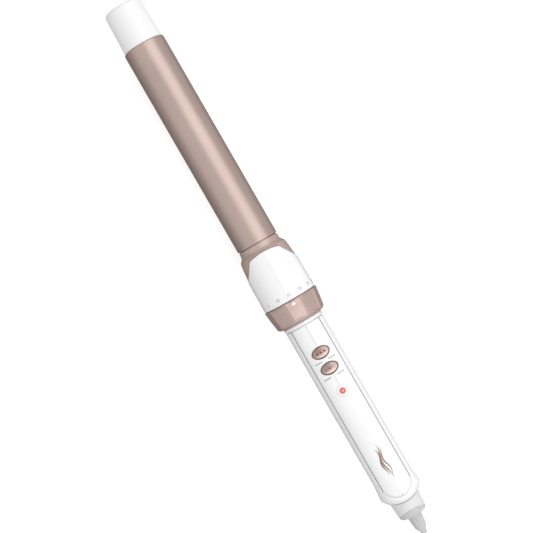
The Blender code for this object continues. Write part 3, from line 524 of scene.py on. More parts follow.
def shield_edge(angle, grown=0.0):
    """The housing's front edge at an angle: a bowed crest, a corner, and a scoop down each side."""
    away = np.abs(np.sin(angle)) * SHIELD_REACH
    crest = HOUSING_START + SHIELD_BOW * away**2
    scoop = SHIELD_CORNER[0] + SHIELD_SLOPE * (away - SHIELD_CORNER[1])
    edge = (crest + scoop) / 2 + np.sqrt(((crest - scoop) / 2) ** 2 + SHIELD_EASE**2) - SHIELD_EASE / 2
    return edge - grown * 1.25


def housing_radius(x):
    return np.interp(x, HOUSING_PLACES, HOUSING_RADII)


def housing_cup():
    """The housing before its cuts: its front edge follows the shield, and its rear is closed to a ring."""
    angles = columns()
    edge = shield_edge(angles)
    rows = [
        (edge + FRONT_FILLET * (1 - sine), HOUSING_BORE + FRONT_FILLET * (1 - cosine))
        for sine, cosine in quarter(6)
    ]
    for sine, cosine in quarter(8):
        place = edge + FRONT_FILLET * (1 - cosine)
        rows.append((place, housing_radius(place) - FRONT_FILLET * (1 - sine)))
    for part in np.linspace(0.02, 1.0, 30):
        place = edge + FRONT_FILLET + (HOUSING_END - REAR_FILLET - edge - FRONT_FILLET) * part
        rows.append((place, housing_radius(place)))
    rows += rear_fillet(HOUSING_END - REAR_FILLET, housing_radius, REAR_FILLET, 8)
    rear_inside = HOUSING_END - HOUSING_REAR_WALL
    rows += [
        (HOUSING_END, NECK_RADIUS + GAP),
        (rear_inside, NECK_RADIUS + GAP),
        (rear_inside, HOUSING_BORE),
    ]
    return ruled("housing_shell", angles, rows)


def make_collar():
    """The rose-gold flare. It is turned down where the housing's shield lies over it."""
    ring = turned(
        "collar_ring",
        [
            (0.0, 15.95, 0.2),
            (-8.6, 15.15, 14.0),
            (-12.6, 14.55, 2.2),
            (-15.0, 12.5, 1.4),
            (COLLAR_START, 12.45, 0.3),
            (COLLAR_START, COLLAR_LIP),
            (-15.0, COLLAR_LIP),
            (-14.6, COLLAR_BORE),
            (0.0, COLLAR_BORE),
        ],
        steps=FINE,
        fillet_steps=10,
    )
    angles = columns()
    front, rear, beyond = shield_edge(angles, GAP), 4.0, 22.0
    rows = [(front, COLLAR_COVERED_RADIUS), (front, beyond), (rear, beyond), (rear, COLLAR_COVERED_RADIUS)]
    return carve(ring, ruled("collar_cover", angles, rows))


def stand_recess():
    """The space that the folded stand and its knuckle lie in, with room to swing."""
    side, rear, below = 5.3, 16.5, -20.0
    leg = block("recess", (-40.0, -side, below), (rear, side, AXIS - 14.3), 0.4)
    knuckle = block("recess", (9.5, -side, below), (rear, side, AXIS - 11.7), 0.4)
    return [leg, knuckle]


def make_housing():
    """The cup gets a bracket for the stand's pin. The recess runs through it and the collar."""
    bracket_half, pin_reach, pin_end, pin_radius = 7.2, -12.0, 6.9, 1.0
    bracket = block("bracket", (7.0, -bracket_half, AXIS - 14.4), (17.5, bracket_half, AXIS - 10.9))
    shell = carve(housing_cup(), bracket, operation="UNION")
    place = (STAND_PIVOT.x, 0.0, STAND_PIVOT.z)
    hole = lathe("pin_hole", drum(pin_reach, pin_end, pin_radius), place, along="Y", steps=32)
    shell = carve(shell, *stand_recess(), hole)
    piece("housing_shell", shell, GLOSS, stands_for=["scale_housing"])
    collar = carve(make_collar(), *stand_recess())
    piece("collar_ring", collar, PLATING, stands_for=["neck_collar"])


# ---- dial

SCALE_OFFSET = math.radians(2.0)  # the scale's middle number stands a little to one side of the top
WAIST = (24.8, 16.4)  # place and radius where the knob's taper changes
DIAL_BORE = 11.6
DIAL_CAVITY_RADIUS, DIAL_CAVITY_END = 14.5, 28.6
PADS = 10
PITCH = TURN / PADS
GROOVE_DEPTH = 0.45
GROOVE_HALF = 0.4
GROOVE_SLANT = 0.2  # how wide each of the groove's walls is
RIB_HEIGHT = 0.14
RIB_PLACE = 0.8  # from the middle of the groove
RIB_HALF = 0.3
PAD_FLATNESS = 0.62  # how far the middle of a pad lies inside the round shape
PAD_START, PAD_FRONT, PAD_REAR = DIAL_START + 0.35, DIAL_START + 0.9, 31.6
PAD_FADE = 1.2


def dial_relief(x, angle):
    """How far the knob lies inside its round shape: flattened pads, with a groove between each two."""
    away = np.abs(np.mod(angle - SCALE_OFFSET + PITCH / 2, PITCH) - PITCH / 2)  # from the middle of the pad
    flat = PAD_FLATNESS * (1 - (away / (PITCH / 2)) ** 2)
    edge = (PITCH / 2 - away) * DIAL_RADIUS
    wall = np.clip((GROOVE_HALF + GROOVE_SLANT / 2 - edge) / GROOVE_SLANT, 0.0, 1.0)
    groove = GROOVE_DEPTH * wall * wall * (3 - 2 * wall)
    rib = np.clip(1 - np.abs(edge - RIB_PLACE) / RIB_HALF, 0.0, 1.0)
    flat = flat + RIB_HEIGHT * (1 - rib)
    front = np.clip((x - PAD_START) / (PAD_FRONT - PAD_START), 0.0, 1.0)
    rear = np.clip((PAD_REAR - x) / PAD_FADE, 0.0, 1.0)
    return (flat + groove) * front * rear * rear * (3 - 2 * rear)


def make_dial():
    """The knob has ten flattened pads, which fade out at the rounded rear edge."""
    outline = rounded(
        [
            (DIAL_START, DIAL_CAVITY_RADIUS, 0.15),
            (DIAL_START, DIAL_RADIUS, 0.45),
            (*WAIST, 12.0),
            (31.0, 15.5, 1.0),
            (32.4, 14.1, 0.9),
            (DIAL_END, 12.5, 0.2),
            (DIAL_END, DIAL_BORE),
            (DIAL_CAVITY_END, DIAL_BORE),
            (DIAL_CAVITY_END, DIAL_CAVITY_RADIUS),
        ],
        8,
    )
    x, radius = np.array(subdivided(outline, 0.45)).T[:, None, :]
    angles = columns(2 * FINE)[:, None]
    outside = radius > DIAL_CAVITY_RADIUS + 0.2
    knob = skin("dial_knob", x, angles, radius - dial_relief(x, angles) * outside)
    piece("dial_knob", knob, DIAL_PLATING, body="heat_dial", stands_for=["heat_dial"])
    outer, lip_radius, lip_end = 12.2, 11.8, TRIM_END + 0.25
    band = turned(
        "trim_band",
        [
            (TRIM_START, outer, 0.3),
            (TRIM_END, outer, 0.25),
            (TRIM_END, lip_radius),
            (lip_end, lip_radius),
            (lip_end, NECK_RADIUS + GAP),
            (TRIM_START, NECK_RADIUS + GAP),
        ],
    )
    piece("trim_band", band, GLOSS, stands_for=["dial_trim_ring"])


# ---- handle

FLARE_START = 134.0
HANDLE_PLACES, HANDLE_RADII = zip(*rounded([
    (FLARE_START - 10.0, HANDLE_RADIUS),
    (137.0, HANDLE_RADIUS, 40.0),
    (146.5, 12.8, 1.6),
    (148.0, 11.6, 1.6),
    (RIM_SIDE, 10.75),
], 8))
PANEL_BEND = PANEL_END - 7.7  # where the panel's sides start to round off
PANEL_TOE = PANEL_END - 1.65  # where its outline ends, before the handle's saddle moves it


def handle_radius(x):
    """The handle's radius at its sides: straight, then a flare and a rounded shoulder."""
    return np.interp(x, HANDLE_PLACES, HANDLE_RADII)


def saddle(x, angle):
    """Moves places near the cord end, so that the rim reaches further at the front and back."""
    part = np.clip((x - FLARE_START) / (RIM_SIDE - FLARE_START), 0.0, 1.0)
    return x + (RIM_END - RIM_SIDE) * part * part * (3 - 2 * part) * np.cos(angle) ** 2


def along_handle(start, end):
    """Places along the handle, close together where it flares and at both ends."""
    plain = np.linspace(start + 0.5, FLARE_START, 24)
    curved = np.linspace(FLARE_START, end, 36)[1:]
    return np.concatenate([[start, start + 0.2], plain, curved])


PATH_STEPS = 40  # points along each side of the panel, and round its end


def panel_path(grown):
    """The panel's outline as (x, across) points, from the -Y side round the cord end to the +Y side."""
    half = PANEL_HALF_WIDTH + grown
    length = PANEL_TOE + grown - PANEL_BEND
    xs = np.linspace(HANDLE_START + GAP, PANEL_BEND, PATH_STEPS)
    turn = np.linspace(-math.pi / 2, math.pi / 2, PATH_STEPS)[1:-1]
    x = np.concatenate([xs, PANEL_BEND + length * np.cos(turn), xs[::-1]])
    y = np.concatenate([np.full_like(xs, -half), half * np.sin(turn), np.full_like(xs, half)])
    return x, y


def lip(width, inward):
    """Steps from a wall up over a rounded edge: (distance from the wall, depth below the surface)."""
    arc = [(width * (1 - cosine), width * (1 - sine)) for sine, cosine in quarter(6)]
    return [(0.0, inward), (0.0, width * 1.5), *arc, (width * 1.8, 0.0)]


RAIL_DEPTH = 1.5


def second(rows):
    """The second value of each row, as an array that fits a grid's rows."""
    return np.array([row[1] for row in rows])[None, :]


def front_rail():
    """The white band round the control panel: from the panel's groove out to the parting line and the rim.

    Each point of the panel's outline gets one across from it. Round the end, the first and last of these go
    down the parting lines to the rim, and the others spread along the rim.
    """
    x_in, y_in = panel_path(GAP)
    radii = handle_radius(x_in)
    a_in = np.arcsin(y_in / radii)
    x_out = x_in.copy()
    a_out = np.where(y_in < 0, -PARTING, PARTING)
    turning = np.nonzero(x_in > PANEL_BEND + 1e-9)[0]
    fan = (turning - turning[0] + 1) / (len(turning) + 1)
    down = 0.22  # the share of the points that goes down each parting line
    for i, part in zip(turning, fan):
        to_side = min(part, 1 - part)
        if to_side < down:
            x_out[i] = PANEL_BEND + (RIM_SIDE - PANEL_BEND) * to_side / down
            a_out[i] = -PARTING if part < down else PARTING
        else:
            x_out[i] = RIM_SIDE
            a_out[i] = PARTING * (2 * (part - down) / (1 - 2 * down) - 1)
    span = np.hypot(x_out - x_in, (a_out - a_in) * radii)
    inner_lip, outer_lip = lip(0.4, RAIL_DEPTH), lip(0.3, RAIL_DEPTH)
    start = inner_lip[-1][0] / span
    end = 1 - outer_lip[-1][0] / span
    rows = [(distance / span, depth) for distance, depth in inner_lip]
    rows += [(start + (end - start) * part, 0.0) for part in np.linspace(0.08, 0.92, 22)]
    rows += [(1 - distance / span, depth) for distance, depth in reversed(outer_lip)]
    x = np.stack([x_in + (x_out - x_in) * share for share, _ in rows], 1)
    angle = np.stack([a_in + (a_out - a_in) * share for share, _ in rows], 1)
    radius = handle_radius(x) - second(rows)
    radius = np.maximum(radius, np.where(x > RIM_POCKET[0] - GAP, RIM_POCKET[1], 0.0))
    return skin("front_rail", saddle(x, angle), angle, radius, around=False)


NECK_BORE = 9.5
BUSH_RIB = (-0.4, 2.6)  # ends of the rib that holds the barrel's bush
BUSH_GRIP = 7.9  # radius inside that rib
SPINDLE_PASSAGE = 5.6
END_WALL_START = 144.0


def shell_loop(outer_sink):
    """The handle's wall in section, as (x, radius) points. Its outside lies outer_sink below the skin."""
    lowest = RIM_POCKET[1] + 0.15
    places = along_handle(HANDLE_START, RIM_SIDE)
    outside = [(x, max(float(handle_radius(x)) - outer_sink, lowest)) for x in places]
    inner = HANDLE_RADIUS - HANDLE_WALL
    pocket, pocket_radius = RIM_POCKET
    return [
        (NECK_START, NECK_RADIUS),
        (HANDLE_START - 0.05, NECK_RADIUS),
        *outside,
        (RIM_SIDE, pocket_radius),
        (pocket, pocket_radius),
        (pocket, SPINDLE_PASSAGE),
        (END_WALL_START, SPINDLE_PASSAGE),
        (END_WALL_START, inner),
        (36.5, inner),
        (35.0, NECK_BORE),
        (BUSH_RIB[1], NECK_BORE),
        (BUSH_RIB[1], BUSH_GRIP),
        (BUSH_RIB[0], BUSH_GRIP),
        (BUSH_RIB[0], NECK_BORE),
        (NECK_START, NECK_BORE),
    ]


def half_shell(name, outer_sink, first, last, count, edge=0.0):
    """Part of the handle's wall between two angles, with its outer edges eased at both of them."""
    x, radius = np.array(shell_loop(outer_sink)).T[:, None, :]
    if edge:
        turns = reversed(quarter(6))
        arc = [(edge / HANDLE_RADIUS * (1 - sine), edge * (1 - cosine)) for sine, cosine in turns]
        inner = np.linspace(first + 0.05, last - 0.05, count)
        starts = [first + away for away, _ in arc]
        finishes = [last - (angle - first) for angle in reversed(starts)]
        sinks = [sink for _, sink in arc]
        angles = np.array([*starts, *inner, *finishes])[:, None]
        sinks = np.array(sinks + [0.0] * count + sinks[::-1])[:, None]
        radius = radius - sinks * ((radius > 10.2) & (x > HANDLE_START - 0.01))
    else:
        angles = np.linspace(first, last, count)[:, None]
    return skin(name, saddle(x, angles), angles, radius, around=False)


def key_hole(x, grown, low=4.5, high=20.0):
    """A cutter for an oval key's opening, larger than the key by grown."""
    half_x, half_y = KEY_HALF[0] + grown, KEY_HALF[1] + grown
    return lathe("key_hole", drum(low, high, half_x), (x, 0.0, AXIS), steps=96, wide=half_y / half_x)


def post(x, radius, low, high, steps=48):
    """A round post or a cutter that stands on the iron's axis at x."""
    return lathe("post", drum(low, high, radius), (x, 0.0, AXIS), steps=steps)


def panel_holes():
    """Cutters for the openings that the keys and the lens look out of."""
    return [key_hole(x, GAP) for x in KEYS.values()] + [post(LENS.x, LENS_HOLE, 6.0, 20.0)]


KEY_HALF = (3.4, 5.15)
KEYS = {"turbo": middle("turbo_button").x, "power": middle("power_button").x}
LENS = middle("indicator_lens")
LENS_RADIUS, LENS_HOLE = 1.6, 1.68
HANDLE_SCREWS = [middle(f"handle_screw_{number}").x for number in (1, 2, 3)]
BOARD_SCREWS = [middle(f"board_screw_{number}").x for number in (1, 2)]
SHELL_CLEARANCE = 0.15 / HANDLE_RADIUS  # half of the joint between the shells, as an angle
LINER_SINK = 1.3  # how far the front shell lies below the panel's face
PILOT_RADIUS, HEAD_RADIUS = 1.4, 2.4  # of the handle screws' holes


def make_front_shell():
    """A liner below the panel, with openings for what looks out of it, and the white band round it."""
    half = PARTING - SHELL_CLEARANCE
    liner = half_shell("front_liner", LINER_SINK, -half, half, 64)
    liner = carve(liner, *[post(x, HEAD_RADIUS, -2.0, 10.2) for x in HANDLE_SCREWS], operation="UNION")
    tools = panel_holes() + [post(x, PILOT_RADIUS, -4.3, 5.0, 24) for x in HANDLE_SCREWS]
    tools.append(block("pinion_window", (22.7, -8.6, AXIS), (28.9, 8.6, AXIS + 20.0)))
    shell = join("front_shell", carve(liner, *tools), front_rail())
    piece("front_shell", shell, GLOSS, stands_for=["handle_front_shell"])


def make_rear_shell():
    """The back of the handle, with posts for the screws and deep holes for their heads."""
    first = PARTING + SHELL_CLEARANCE
    shell = half_shell("rear_shell", 0.0, first, TURN - first, 120, edge=0.25)
    posts = [post(x, 3.4, -10.8, -2.3) for x in HANDLE_SCREWS]
    posts += [post(x, 2.2, -10.8, 1.7) for x in BOARD_SCREWS]
    shell = carve(shell, *posts, operation="UNION")
    tools = [post(x, HEAD_RADIUS, -16.0, -6.5) for x in HANDLE_SCREWS]
    tools += [post(x, PILOT_RADIUS, -7.5, 0.0, 24) for x in HANDLE_SCREWS]
    tools += [post(x, 1.3, -3.0, 6.0, 24) for x in BOARD_SCREWS]
    tools.append(block("neck_flat", (6.5, -20.0, AXIS - 20.0), (17.5, 20.0, AXIS - 10.6)))
    piece("rear_shell", carve(shell, *tools), GLOSS, stands_for=["handle_rear_shell"])


def make_panel():
    """The inlay: its outline is eased all round, and its face carries on the handle's own curve."""
    x_edge, y_edge = panel_path(0.0)
    x_spine = np.minimum(x_edge, PANEL_BEND)
    span = np.hypot(x_edge - x_spine, y_edge)
    none = np.zeros_like(span)
    rows = [(none + part, 0.0) for part in np.linspace(0.0, 0.96, 26)]
    rows += [(1 - distance / span, depth) for distance, depth in reversed(lip(0.4, PANEL_DEPTH))]
    rows.append((none, PANEL_DEPTH))
    x = np.stack([x_spine + (x_edge - x_spine) * share for share, _ in rows], 1)
    y = np.stack([y_edge * share for share, _ in rows], 1)
    radius = handle_radius(x)
    angle = np.arcsin(y / radius)
    face = radius - second(rows)
    mesh = skin("panel_inlay", saddle(x, angle), angle, face, ring=False, around=False)
    inlay = carve(mesh, *panel_holes())
    piece("panel_inlay", inlay, GLOSS, stands_for=["control_panel"])


GROOVE_SHADE_FOOT = 1.2  # how far down the strips reach


def groove_shade_strip(name, first, last, half, sink):
    """A strip of painted shade that lies in the groove round the panel, from one point of its path to
    another.
    """
    x, y = np.array(panel_path(GAP / 2))[:, first:last]
    along = np.stack([np.gradient(x), np.gradient(y)])
    along /= np.linalg.norm(along, axis=0)
    rows = [(half, GROOVE_SHADE_FOOT), (half, sink), (-half, sink), (-half, GROOVE_SHADE_FOOT)]
    place = np.stack([x - along[1] * side for side, _ in rows], 1)
    across = np.stack([y + along[0] * side for side, _ in rows], 1)
    radius = handle_radius(place)
    angle = np.arcsin(across / radius)
    return skin(name, saddle(place, angle), angle, radius - second(rows), around=False)


def make_groove_shades():
    """Grey strips paint the shade in the groove at both sides of the panel, and a paler strip paints the
    fainter shade round its cord end.
    """
    total = 3 * PATH_STEPS - 2
    far = total - PATH_STEPS
    sides = [groove_shade_strip("panel_groove_shade", *part, 0.32, 0.1) for part in ((0, PATH_STEPS + 2), (far - 2, total))]
    piece("panel_groove_shade", join("panel_groove_shade", *sides), GROOVE_SHADE_GREY)
    end = groove_shade_strip("panel_groove_shade_end", PATH_STEPS + 1, far - 1, 0.28, 0.16)
    piece("panel_groove_shade_end", end, GROOVE_SHADE_PALE)


# ---- keys and indicator

# The dark ring round each key is painted shade: it stands for the shade in the gap round the key.
GAP_SHADE_FOOT, GAP_SHADE_TOP = 9.5, 12.0
GAP_SHADE_INNER, GAP_SHADE_OUTER = 3.48, 3.69
KEY_DROP_ACROSS, KEY_DROP_ALONG = 0.014, 0.055  # how fast a key's face falls away from its middle
GAP_SHADE_DROP = 0.0425
PIP_PLACES = {"turbo": (-2.3, 0.0, 2.3), "power": (0.0,)}
PIP_RADIUS, PIP_HEIGHT = 0.6, 0.13


def crowned_key(name, x, foot, top):
    """An oval key whose face is subdivided and then bent to the handle's curve."""
    corners = [(foot, 0.0), (foot, KEY_HALF[0], 0.1), (top, KEY_HALF[0], 0.75), (top + 0.01, 0.0)]
    key = lathe(name, corners, (x, 0.0, AXIS), steps=96, wide=KEY_HALF[1] / KEY_HALF[0], fillet_steps=10)
    face_low = (AXIS + top - 0.9) * MM
    body = bmesh.new()
    body.from_mesh(key)
    spokes = [
        edge for edge in body.edges
        if edge.calc_length() > 1.2 * MM and min(vert.co.z for vert in edge.verts) > face_low
    ]
    bmesh.ops.subdivide_edges(body, edges=spokes, cuts=5, use_grid_fill=True)
    for vert in body.verts:
        if vert.co.z / MM - AXIS > foot + 1.0:
            along, across = vert.co.x / MM - x, vert.co.y / MM
            vert.co.z -= (KEY_DROP_ACROSS * across**2 + KEY_DROP_ALONG * along**2) * MM
    body.to_mesh(key)
    body.free()
    flange = block("flange", (x - 4.2, -3.5, AXIS + foot), (x + 4.2, 3.5, AXIS + foot + 0.7), 0.1)
    return carve(key, flange, operation="UNION")


def make_keys():
    """Oval keys, each with a dark ring of painted shade in the gap round it, and small raised pips to tell
    them apart.
    """
    for name, x in KEYS.items():
        body = f"{name}_button"
        foot, top = heights(body)
        key = crowned_key(f"{name}_key", x, foot, top)
        piece(f"{name}_key", key, KEY_PLATING, body=body, stands_for=[body])
        # a dark ring of painted shade in the gap round the key
        lower = [(GAP_SHADE_FOOT, GAP_SHADE_INNER), (GAP_SHADE_FOOT, GAP_SHADE_OUTER)]
        corners = lower + [(GAP_SHADE_TOP, GAP_SHADE_OUTER), (GAP_SHADE_TOP, GAP_SHADE_INNER)]
        gap_shade = lathe(f"{name}_seal", corners, (x, 0.0, AXIS), steps=96, wide=KEY_HALF[1] / KEY_HALF[0])
        for vert in gap_shade.vertices:
            vert.co.z -= GAP_SHADE_DROP * vert.co.y**2 / MM
        piece(f"{name}_seal", gap_shade, KEY_GAP_SHADE)
        for number, y in enumerate(PIP_PLACES[name], 1):
            face = top - KEY_DROP_ACROSS * y * y
            foot = face - 0.2
            corners = [(foot, 0.0), (foot, PIP_RADIUS), (face + 0.12, 0.5, 0.12), (face + PIP_HEIGHT, 0.0)]
            pip = lathe(f"{name}_pip_{number}", corners, (x, y, AXIS), steps=24)
            piece(f"{name}_pip_{number}", pip, PIP_INK, body=body)


LENS_GLOW = [
    (0.0, (0.80, 0.30, 0.27)),
    (0.3, (0.72, 0.20, 0.18)),
    (0.55, (0.37, 0.07, 0.07)),
    (0.8, (0.34, 0.08, 0.08)),
    (1.0, (0.55, 0.27, 0.26)),
]
# Colours of the painted glow that the lens throws on the panel round it.
PAINTED_HALO_GLOW = [
    (0.0, (0.7, 0.35, 0.34)),
    (0.6, (0.72, 0.40, 0.39)),
    (0.76, (0.80, 0.70, 0.69)),
    (0.9, (0.81, 0.80, 0.80)),
]


def make_indicator():
    """A red lens, the glow that it throws on the panel round it as a painted glowing ring, and a thin printed
    ring.
    """
    foot, top = heights("indicator_lens")
    centre = (LENS.x * MM, 0.0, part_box("indicator_lens")[1].z)
    stem, shoulder = 1.5, 6.5
    corners = [
        (foot, 0.0), (foot, stem), (shoulder, stem), (shoulder, LENS_RADIUS), (top - 0.25, LENS_RADIUS, 0.3),
        (top, 0.0),
    ]
    lens = lathe("lens_dome", corners, (LENS.x, 0.0, AXIS), steps=64, fillet_steps=8)
    red = radiant("indicator_red", centre, LENS_GLOW, 1.7 * MM, 0.5)
    piece("lens_dome", lens, red, stands_for=["indicator_lens"])
    # painted glow on the panel round the lens: a ring that glows, fading outwards
    halo = radiant("indicator_halo", centre, PAINTED_HALO_GLOW, 3.1 * MM, 0.06)
    piece("indicator_halo", wrapped_ring("indicator_halo", LENS.x, 1.72, 2.9), halo)
    piece("indicator_rim", wrapped_ring("indicator_rim", LENS.x, 3.3, 3.5), FAINT_INK)


PRINT_FOOT = -0.06  # prints are sunk this far into what they lie on


def wrapped_ring(name, x, inner, outer, steps=72):
    """A thin flat ring printed on the handle, bent to its curve."""
    turn = columns(steps)
    rows = [(inner, PRINT_FOOT), (inner, 0.02), (outer, 0.02), (outer, PRINT_FOOT)]
    place = np.stack([x + size * np.cos(turn) for size, _ in rows], 1)
    across = np.stack([size * np.sin(turn) for size, _ in rows], 1)
    return skin(name, place, np.arcsin(across / HANDLE_RADIUS), HANDLE_RADIUS + second(rows))


# ---- prints


def stroke(name, route, widths):
    """A line printed on the handle: a thin raised band along (x, across) points."""
    route = np.array(route, float)
    widths = np.broadcast_to(widths, len(route)).astype(float)
    along = np.gradient(route, axis=0)
    along /= np.linalg.norm(along, axis=1)[:, None]
    side = np.stack([-along[:, 1], along[:, 0]], 1) * widths[:, None] / 2
    left, right = route + side, route - side
    rows = [(left, PRINT_FOOT), (left, 0.025), (right, 0.025), (right, PRINT_FOOT)]
    x, across = np.stack([points for points, _ in rows], 1).transpose(2, 0, 1)
    return skin(name, x, across / HANDLE_RADIUS, HANDLE_RADIUS + second(rows), around=False)


def line(start, end, steps=12):
    """Evenly spaced points from start to end."""
    shares = [i / steps for i in range(steps + 1)]
    return [(start[0] + (end[0] - start[0]) * part, start[1] + (end[1] - start[1]) * part) for part in shares]


LINE_WIDTH, DASH_WIDTH = 0.22, 0.95
DASHES = ((2.0, 2.8), (3.1, 4.3), (4.6, 5.4), (5.7, 6.7))  # where they start and end, out from the middle
DASH_PLACE = 5.15  # behind the middle of a key
WAVE_MIDDLE = 125.0
STRANDS = ((-1.15, 8.5, 0.75), (0.0, 11.0, 0.95), (1.15, 8.5, 0.75))  # offset, half length and height
STRAND_STEPS = 48
STRAND_TURN = TURN * 1.25


def strand(number, offset, reach, height):
    """One tapered strand of the wave ornament."""
    points, widths = [], []
    for i in range(STRAND_STEPS + 1):
        part = i / STRAND_STEPS
        swing = math.sin(part * STRAND_TURN + number * 0.7)
        points.append((WAVE_MIDDLE + reach * (2 * part - 1), offset + height * swing))
        widths.append(0.12 + 0.85 * math.sin(math.pi * part) ** 0.8)
    return stroke("strand", points, widths)


def make_panel_prints():
    """Thin lines down the middle, neutral dashes beside the keys, and a wave ornament of three strands."""
    turbo, power = KEYS.values()
    middle_lines = [
        stroke("line", line((36.9, 0.0), (turbo - 4.6, 0.0)), LINE_WIDTH),
        stroke("line", line((turbo + 4.5, 0.0), (power - 4.5, 0.0), 4), LINE_WIDTH),
        stroke("line", line((power + 4.6, 0.0), (LENS.x - 3.6, 0.0)), LINE_WIDTH),
        stroke("line", line((36.5, 0.0), (37.3, 0.0), 4), (0.2, 0.6, 0.75, 0.6, 0.2)),
    ]
    piece("middle_line", join("middle_line", *middle_lines), FAINT_INK)
    dashes = [
        stroke("dash", line((x + DASH_PLACE, side * start), (x + DASH_PLACE, side * end), 4), DASH_WIDTH)
        for x in (turbo, power)
        for side in (-1, 1)
        for start, end in DASHES
    ]
    piece("key_dashes", join("key_dashes", *dashes), FAINT_INK)
    strands = [strand(number, *shape) for number, shape in enumerate(STRANDS)]
    piece("wave_ornament", join("wave_ornament", *strands), ROSE_FOIL)


def numeral(text, angle, x, size, radius):
    """A printed number, wrapped on a round surface. Its top is towards the tip."""
    curve = bpy.data.curves.new("numeral", "FONT")
    curve.body = text
    curve.size = size
    curve.align_x = "CENTER"
    curve.align_y = "CENTER"
    curve.extrude = 0.045
    curve.resolution_u = 4
    guide = linked("numeral", curve)
    graph = bpy.context.evaluated_depsgraph_get()
    mesh = bpy.data.meshes.new_from_object(guide.evaluated_get(graph))
    bpy.data.objects.remove(guide, do_unlink=True)
    body = bmesh.new()
    body.from_mesh(mesh)
    bmesh.ops.remove_doubles(body, verts=body.verts, dist=1e-5)
    for vert in body.verts:
        right, up, out = vert.co
        reach = radius - 0.02 + out
        turn = angle + right / radius
        vert.co = Vector((x - up, reach * math.sin(turn), AXIS + reach * math.cos(turn))) * MM
    body.to_mesh(mesh)
    body.free()
    return mesh


SCALE_STEP = math.radians(26.0)
SCALE_PLACE = HOUSING_END - 3.1
NUMERAL_SIZE = 2.5


def make_scale():
    """The numbers of the heat scale, 0 to 30, and the dial's pointer."""
    radius = float(housing_radius(SCALE_PLACE))
    numbers = [
        numeral(str(5 * i), (i - 3) * SCALE_STEP + SCALE_OFFSET, SCALE_PLACE, NUMERAL_SIZE, radius)
        for i in range(7)
    ]
    piece("scale_numbers", join("scale_numbers", *numbers), GREY_INK)
    piece("dial_pointer", make_pointer(), WHITE_INK, body="heat_dial")


def make_pointer():
    """A printed triangle on the knob's top pad, which points at the numbers."""
    apex, foot, half, rows = DIAL_START + 1.2, DIAL_START + 3.0, 1.3, 12
    x = np.linspace(apex, foot, rows)[:, None]
    side = half * (x - apex) / (foot - apex) + 0.03
    across = side * np.array([-1.0, -1.0, -0.5, 0.0, 0.5, 1.0, 1.0])
    angle = across / DIAL_RADIUS + SCALE_OFFSET
    face = np.interp(x, [DIAL_START, WAIST[0]], [DIAL_RADIUS - 0.02, WAIST[1]]) - dial_relief(x, angle)
    rise = np.array([-0.1, *[0.035] * 5, -0.1])
    return skin("dial_pointer", x, angle, face + rise, around=False)


# ---- swivel and strain relief


FLANGE_RADIUS, FLANGE_WIDTH = 7.5, 2.5
SWIVEL_BORE, SWIVEL_NECK, SWIVEL_SHOULDER = 3.3, 5.2, 8.5
SWIVEL_START = RIM_POCKET[0] + 0.4
SWIVEL_RADIUS, SWIVEL_TAPER = 9.35, 0.064
SWIVEL_FILLET = 0.25
SOCKET_DEPTH = 1.2  # of the hollow in the cup's end, which the relief's dome fills
RELIEF_BORE, SPINDLE_RADIUS = 1.2, 3.0
RELIEF_RADIUS = 8.47
STUB_RADIUS, STUB_FILLET = 2.05, 0.5
DOME = [(161.2, 8.27), (161.55, 7.95), (161.85, 7.4), (162.1, 6.6), (162.28, 5.7), (162.42, 4.9)]
FLUTES = 12
CONE = (
    [(162.75, 4.42, 0.0), (163.1, 4.33, 0.1)]
    + [(163.1 + 5.9 * part, 4.33 - 0.55 * part, 0.34) for part in np.linspace(0.1, 1.0, 12)]
    + [(169.6, 3.72, 0.24), (170.2, 3.6, 0.12), (170.8, 3.35, 0.04), (171.4, 2.95, 0.0), (172.0, 2.5, 0.0)]
    + [(172.4, 2.2, 0.0), (172.8, 2.07, 0.0)]
)  # place, radius and depth of the flutes


def swivel_edge(angle):
    """The cup's cord-side edge: it lies further from the cord at the front and back than at the sides."""
    return SWIVEL_END - 2.6 * np.cos(angle) ** 2


def swivel_radius(x):
    return SWIVEL_RADIUS - (x - SWIVEL_START) * SWIVEL_TAPER


def make_swivel():
    """The grey cup: a flange in the handle, a shoulder that follows the rim, and an arched edge."""
    angles = columns()
    edge = swivel_edge(angles)
    shoulder = RIM_SIDE + (RIM_END - RIM_SIDE) * np.cos(angles) ** 2 + 0.75
    skirt, fillet_start = shoulder + 0.35, edge - SWIVEL_FILLET
    flange_end = SWIVEL_FLANGE_START + FLANGE_WIDTH
    rows = [
        (SWIVEL_FLANGE_START, SWIVEL_BORE),
        (SWIVEL_FLANGE_START, FLANGE_RADIUS),
        (flange_end, FLANGE_RADIUS),
        (flange_end, SWIVEL_NECK),
        (SWIVEL_START, SWIVEL_NECK),
        (SWIVEL_START, SWIVEL_SHOULDER),
        (shoulder - 0.2, SWIVEL_SHOULDER),
        (shoulder, SWIVEL_SHOULDER + 0.05),
        (shoulder + 0.08, SWIVEL_SHOULDER + 0.2),
        (shoulder + 0.12, swivel_radius(shoulder) - 0.2),
        (shoulder + 0.2, swivel_radius(shoulder) - 0.06),
    ]
    for part in (0.0, *np.linspace(0.05, 1.0, 12)):
        place = skirt + (fillet_start - skirt) * part
        rows.append((place, swivel_radius(place)))
    rows += rear_fillet(fillet_start, swivel_radius, SWIVEL_FILLET, 5)
    rows += [(edge, 7.6), (edge - SOCKET_DEPTH, 7.3), (edge - SOCKET_DEPTH, SWIVEL_BORE)]
    cup = ruled("swivel_cup", angles, rows)
    piece("swivel_cup", cup, GREY, body="cord_swivel", stands_for=["swivel_sleeve"])


